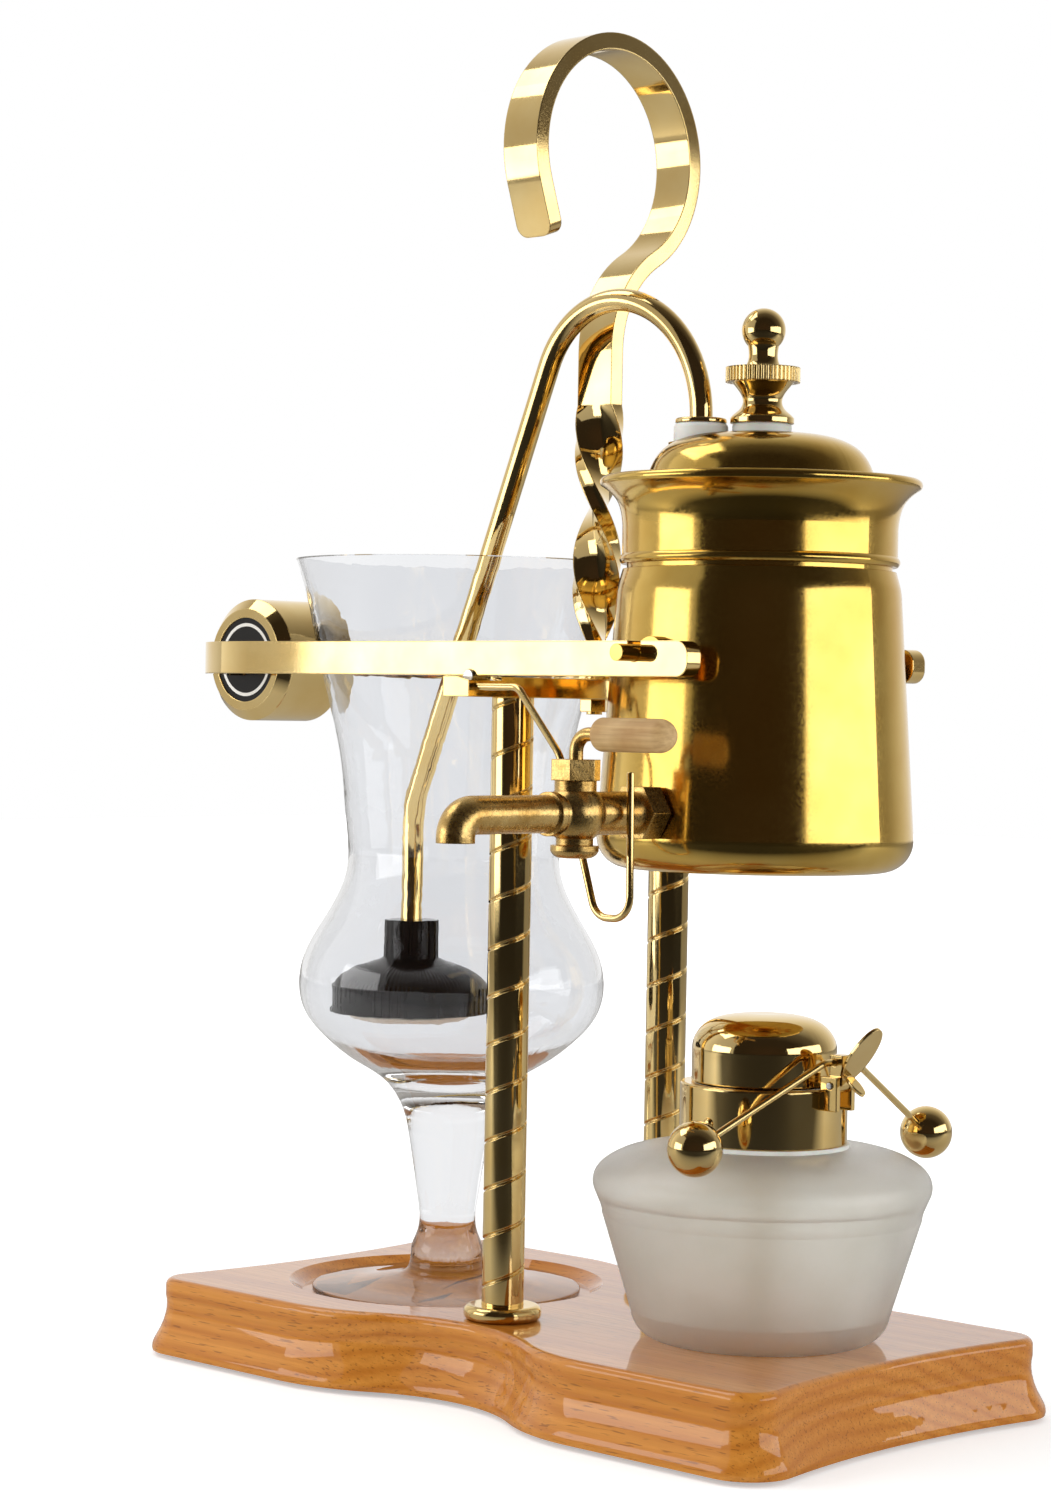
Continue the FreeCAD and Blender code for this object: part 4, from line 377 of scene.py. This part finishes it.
def brushed_flannel():
    # Cotton flannel, woven and brushed: off-white, threads 0.7 mm apart under a short nap.
    material, tree, shader, where = surface("cotton flannel, brushed, white", Sheen_Weight=0.3)
    weave = add(tree, "ShaderNodeTexVoronoi", {"Vector": where, "Scale": per(0.7)})["Distance"]
    nap = add(tree, "ShaderNodeTexNoise", {"Vector": where, "Scale": per(0.3), "Detail": 4.0})["Fac"]
    tone = add(tree, "ShaderNodeValToRGB", {"Fac": nap}, [(0.3, "#F3F0E7"), (0.7, "#DDD8CB")])["Color"]
    rough = add(tree, "ShaderNodeMapRange", {"Value": nap, "To Min": 0.8, "To Max": 0.95})["Result"]
    relief = add(tree, "ShaderNodeBump", {"Height": weave, "Distance": 0.15 * MM, "Strength": 0.6})["Normal"]
    dress(tree, shader, Base_Color=tone, Roughness=rough, Normal=relief)
    return material


def wick_cotton():
    # Cotton yarn, plaited: cream, with fine twisted threads.
    material, tree, shader, where = surface("cotton yarn, plaited, cream", Sheen_Weight=0.25)
    strand = add(tree, "ShaderNodeMapping", {"Vector": where, "Scale": (1, 1, 0.3)})["Vector"]
    threads = add(tree, "ShaderNodeTexNoise", {"Vector": strand, "Scale": per(0.35), "Detail": 3.0})["Fac"]
    tone = add(tree, "ShaderNodeValToRGB", {"Fac": threads}, [(0.3, "#EFE8D4"), (0.7, "#CDBF9E")])["Color"]
    rough = add(tree, "ShaderNodeMapRange", {"Value": threads, "To Min": 0.8, "To Max": 0.95})["Result"]
    relief = add(tree, "ShaderNodeBump", {"Height": threads, "Distance": 0.12 * MM,
                                          "Strength": 0.7})["Normal"]
    dress(tree, shader, Base_Color=tone, Roughness=rough, Normal=relief)
    return material


GOLD = gold_plate()
BRASS = kettle_brass()
CAST = cast_brass()
STEEL = satin_steel()
WOOD = lacquered_rubberwood()
GRIP = bare_maple()
CLEAR = clear_glass()
FROST = frosted_glass()
SILICONE = white_silicone()
NYLON = filter_nylon()
RIBBED = ribbed_nylon()
RUBBER = foot_rubber()
DISC = weight_disc()
FLANNEL = brushed_flannel()
COTTON = wick_cotton()

# Every node that isn't named here is gold-plated.
FINISHES = {
    "base_board": WOOD, "base_feet": RUBBER, "tap_grip": GRIP, "goblet": CLEAR, "lamp_bottle": FROST,
    "counterweight_discs": DISC, "stopper": SILICONE, "filler_gasket": SILICONE, "lamp_neck_ring": SILICONE,
    "filter_nut": RIBBED, "filter_top": RIBBED, "filter_base": NYLON,
    "kettle_body": BRASS, "kettle_collar": BRASS, "kettle_lid": BRASS, "kettle_trunnions": BRASS,
    "tap_nut": CAST, "tap_back_nut": CAST, "tap_body": CAST, "tap_gland": CAST,
    "tap_bottom_cap": CAST, "tap_plug": CAST, "tap_lever": CAST, "wick_tube": CAST,
    "post_bolts": STEEL, "crossbar_screws": STEEL, "pivot_pins": STEEL, "counterweight_screw": STEEL,
    "hinge_pin": STEEL,
}

for piece in list(bpy.data.objects):
    if piece.type == "MESH" and "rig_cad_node" in piece:
        piece.data.materials.clear()
        piece.data.materials.append(FINISHES.get(piece["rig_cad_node"], GOLD))


# New pieces that stand for the soft ones

def clear_bench():
    """Leave nothing selected, so the next primitive is the only thing worked on."""
    bpy.ops.object.select_all(action="DESELECT")


def settle(piece, name, material):
    """Name a finished piece, give it its material, put its place in its mesh and smooth its faces."""
    piece.name = name
    piece.data.name = name
    piece.data.materials.clear()
    piece.data.materials.append(material)
    clear_bench()
    piece.select_set(True)
    bpy.context.view_layer.objects.active = piece
    bpy.ops.object.transform_apply(location=True, rotation=True, scale=True)
    bpy.ops.object.shade_smooth_by_angle(angle=math.radians(40))


def ring_area(rings):
    """Surface of a turned skin from its rings of (radius, height)."""
    total = math.pi * rings[-1][0] ** 2
    for (r1, z1), (r2, z2) in zip(rings, rings[1:]):
        total += math.pi * (r1 + r2) * math.hypot(r1 - r2, z1 - z2)
    return total


def filter_cover():
    """The flannel drawn tight under the filter: a shallow skin with gathers where it is pulled in."""
    low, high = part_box("filter_cloth")
    middle = (low + high) / 2
    reach = (high.x - low.x) / 2 - 0.25 * MM
    drop = high.z - low.z
    rings = [(reach - 0.4 * MM, high.z), (reach, high.z - 0.3 * drop),
             (reach - 0.9 * MM, high.z - 0.62 * drop), (0.8 * reach, low.z + 0.1 * drop),
             (0.55 * reach, low.z + 0.02 * drop), (0.25 * reach, low.z + 0.06 * drop)]
    clear_bench()
    bpy.ops.mesh.primitive_circle_add(vertices=96, radius=rings[0][0], fill_type="NOTHING",
                                      location=(middle.x, middle.y, rings[0][1]))
    cover = bpy.context.object
    bpy.ops.object.mode_set(mode="EDIT")
    bpy.ops.mesh.select_all(action="SELECT")
    for (r1, z1), (r2, z2) in zip(rings, rings[1:]):
        bpy.ops.mesh.extrude_region_move(TRANSFORM_OT_translate={"value": (0, 0, z2 - z1)})
        bpy.ops.transform.resize(value=(r2 / r1, r2 / r1, 1), center_override=(middle.x, middle.y, z2))
    bpy.ops.mesh.edge_face_add()
    bpy.ops.mesh.poke()
    bpy.ops.mesh.select_all(action="SELECT")
    bpy.ops.mesh.normals_make_consistent(inside=False)
    bpy.ops.object.mode_set(mode="OBJECT")
    # The gathers start at 0.72 of the reach and are deepest at the rim; their spacing is a little uneven.
    gathers, start, depth = 24, 0.72, 0.009
    for vertex in cover.data.vertices:
        round_at = math.atan2(vertex.co.y, vertex.co.x)
        out = math.hypot(vertex.co.x, vertex.co.y)
        gather = max(0.0, out / reach - start) / (1 - start)
        pull = 1 - depth * gather * (1 + math.sin(gathers * round_at + 1.5 * math.sin(5 * round_at)))
        vertex.co.x *= pull
        vertex.co.y *= pull
    thick = cover.modifiers.new("cloth", "SOLIDIFY")
    thick.thickness = 0.5 * MM
    thick.offset = -1.0
    bpy.ops.object.modifier_apply(modifier="cloth")
    settle(cover, "filter_cover", FLANNEL)
    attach(cover, "siphon")
    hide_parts("filter_cloth")
    ring_area(rings)


def plaited_wick():
    """Cotton yarn plaited round, with the strands crossing each other."""
    low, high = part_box("wick")
    middle = (low + high) / 2
    radius = (high.x - low.x) / 2
    length = high.z - low.z
    clear_bench()
    bpy.ops.mesh.primitive_cylinder_add(vertices=48, radius=0.93 * radius, depth=length,
                                        end_fill_type="NGON", location=middle)
    wick = bpy.context.object
    bpy.ops.object.mode_set(mode="EDIT")
    slices = 110
    for part in range(1, slices):
        bpy.ops.mesh.select_all(action="SELECT")
        bpy.ops.mesh.bisect(plane_co=(middle.x, middle.y, low.z + length * part / slices), plane_no=UP)
    bpy.ops.object.mode_set(mode="OBJECT")
    # Four strands wind each way, turning by 0.9 radians in a millimetre of rise, and stand out by 6%.
    strands, winding, bulge = 4, 0.9, 0.06
    for vertex in wick.data.vertices:
        round_at = math.atan2(vertex.co.y, vertex.co.x)
        rise = (vertex.co.z + length / 2) / MM
        left = math.sin(strands * round_at + winding * rise)
        right = math.sin(strands * round_at - winding * rise)
        swell = 1 + bulge * max(left, right)
        vertex.co.x *= swell
        vertex.co.y *= swell
    settle(wick, "plaited_wick", COTTON)
    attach(wick, "lamp")
    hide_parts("wick")


filter_cover()
plaited_wick()


# The stage: a pale floor, a white surround and soft lights

# The level direction from the object to the camera's side of the room.
FRONT = (0.694, -0.72, 0)


def floor():
    """Studio paper that keeps the object's shadow and runs out to white for the camera and through glass.

    Polished pieces mirror its front part as dark, like the unlit side of a studio.
    """
    clear_bench()
    bpy.ops.mesh.primitive_plane_add(size=8.0, location=(0, 0, cad_box[0][2] - 0.05 * MM))
    sheet = bpy.context.object
    material, tree, shader, where = surface("studio paper, matt white", Roughness=0.9)
    path = add(tree, "ShaderNodeLightPath")
    out = add(tree, "ShaderNodeVectorMath", {0: where}, operation="LENGTH")["Value"]
    fine = add(tree, "ShaderNodeTexNoise", {"Vector": where, "Scale": per(4)})["Fac"]
    paper = add(tree, "ShaderNodeValToRGB", {"Fac": fine}, [(0.3, "#F3F3F2"), (0.7, "#F0F0EF")])["Color"]
    ahead = add(tree, "ShaderNodeVectorMath", {0: where, 1: FRONT}, operation="DOT_PRODUCT")["Value"]
    edge = add(tree, "ShaderNodeMapRange", {"Value": ahead, "From Min": 0.1, "From Max": 0.34,
                                            "To Max": 0.97})["Result"]
    mirrored = add(tree, "ShaderNodeMath", {0: edge, 1: path["Is Glossy Ray"]}, operation="MULTIPLY")["Value"]
    dim = add(tree, "ShaderNodeMath", {0: mirrored, 1: path["Is Transmission Ray"]},
              operation="MAXIMUM")["Value"]
    tone = add(tree, "ShaderNodeMix", {SHARE: dim, FIRST: paper, SECOND: linear("#171310")},
               data_type="RGBA")[MIXED]
    rise = add(tree, "ShaderNodeMapRange", {"Value": out, "From Min": 0.3, "From Max": 1.3, "To Min": 0.42,
                                            "To Max": 1.0})["Result"]
    glass_level = 0.93
    through = add(tree, "ShaderNodeMath", {0: path["Is Transmission Ray"], 1: glass_level},
                  operation="MULTIPLY")["Value"]
    level = add(tree, "ShaderNodeMath", {0: rise, 1: path["Is Camera Ray"], 2: through},
                operation="MULTIPLY_ADD")["Value"]
    glow = add(tree, "ShaderNodeEmission", {"Color": linear("#FFFFFF"), "Strength": level})["Emission"]
    lit = add(tree, "ShaderNodeAddShader", {0: shader.outputs["BSDF"], 1: glow})["Shader"]
    dress(tree, shader, Base_Color=tone)
    tree.links.new(lit, tree.nodes["Material Output"].inputs["Surface"])
    settle(sheet, "floor", material)


def surround():
    """White behind for the camera and through glass; metal mirrors that and a room that dims in front."""
    world = bpy.data.worlds.new("studio surround")
    bpy.context.scene.world = world
    world.use_nodes = True
    tree = world.node_tree
    path = add(tree, "ShaderNodeLightPath")
    way = add(tree, "ShaderNodeTexCoord")["Generated"]
    toward = add(tree, "ShaderNodeVectorMath", {0: way, 1: FRONT}, operation="DOT_PRODUCT")["Value"]
    place = add(tree, "ShaderNodeMapRange", {"Value": toward, "From Min": -1.0, "From Max": 1.0})["Result"]
    room = add(tree, "ShaderNodeValToRGB", {"Fac": place},
               [(0.0, "#FFFFFF"), (0.12, "#E4E2DF"), (0.3, "#A8A49E"), (0.5, "#59534C"), (0.75, "#2E2721"),
                (0.88, "#2E2721"), (1.0, "#352A22")])["Color"]
    bounces = add(tree, "ShaderNodeMath", {0: path["Glossy Depth"], 1: path["Diffuse Depth"]},
                  operation="ADD")["Value"]
    straight = add(tree, "ShaderNodeMath", {0: bounces, 1: 0.5}, operation="LESS_THAN")["Value"]
    through = add(tree, "ShaderNodeMath", {0: path["Is Transmission Ray"], 1: straight},
                  operation="MULTIPLY")["Value"]
    seen = add(tree, "ShaderNodeMath", {0: path["Is Camera Ray"], 1: through}, operation="MAXIMUM")["Value"]
    mirror = add(tree, "ShaderNodeMath", {0: path["Glossy Depth"], 1: path["Is Glossy Ray"]},
                 operation="MAXIMUM", use_clamp=True)["Value"]
    soft_level = (0.6, 0.6, 0.6, 1)
    soft = add(tree, "ShaderNodeMix", {SHARE: mirror, FIRST: soft_level, SECOND: room},
               data_type="RGBA")[MIXED]
    shown = add(tree, "ShaderNodeMix", {SHARE: seen, FIRST: soft, SECOND: linear("#FFFFFF")},
                data_type="RGBA")[MIXED]
    tree.links.new(shown, tree.nodes["Background"].inputs["Color"])


def softbox(name, at, target, width, height, level):
    """A rectangular soft light whose face has the given brightness."""
    lamp = bpy.data.lights.new(name, "AREA")
    lamp.shape = "RECTANGLE"
    lamp.size = width
    lamp.size_y = height
    lamp.energy = level * math.pi * width * height
    holder = bpy.data.objects.new(name, lamp)
    bpy.context.scene.collection.objects.link(holder)
    away = (Vector(at) - Vector(target)).normalized()
    side = UP.cross(away).normalized()
    turn = Matrix((side, away.cross(side), away)).transposed().to_4x4()
    holder.matrix_world = Matrix.Translation(at) @ turn


def camera():
    """The picture's viewpoint: a long lens at half the object's height, turned by a degree."""
    yaw, pitch, roll = (math.radians(angle) for angle in (43.967, 0.681, 1.014))
    back = Vector((math.sin(yaw) * math.cos(pitch), -math.cos(yaw) * math.cos(pitch), math.sin(pitch)))
    right = (-back).cross(UP).normalized()
    up = right.cross(-back)
    side = right * math.cos(roll) + up * math.sin(roll)
    top = up * math.cos(roll) - right * math.sin(roll)
    lens = bpy.data.cameras.new("camera")
    lens.sensor_fit = "HORIZONTAL"
    lens.sensor_width = 36.0
    lens.lens = 115.32
    lens.clip_start = 0.05
    holder = bpy.data.objects.new("camera", lens)
    bpy.context.scene.collection.objects.link(holder)
    turn = Matrix((side, top, back)).transposed().to_4x4()
    holder.matrix_world = Matrix.Translation((0.71870, -0.77589, 0.21265)) @ turn
    bpy.context.scene.camera = holder


floor()
surround()
softbox("right softbox", at=(1.104, 0.366, 0.37), target=(0.0665, 0.0, 0.37),
        width=1.40, height=0.46, level=2.2)
softbox("left softbox", at=(-0.583, -1.014, 0.30), target=(0.156, -0.070, 0.30),
        width=0.745, height=0.42, level=2.5)
softbox("left panel", at=(-0.95, -1.02, 0.95), target=(0.0665, 0.0, 0.95),
        width=2.0, height=1.8, level=0.42)
softbox("top softbox", at=(-0.86, -0.42, 1.62), target=(0.0, 0.0, 0.2),
        width=1.0, height=0.8, level=2.4)
camera()
bpy.context.scene.view_settings.view_transform = "Standard"
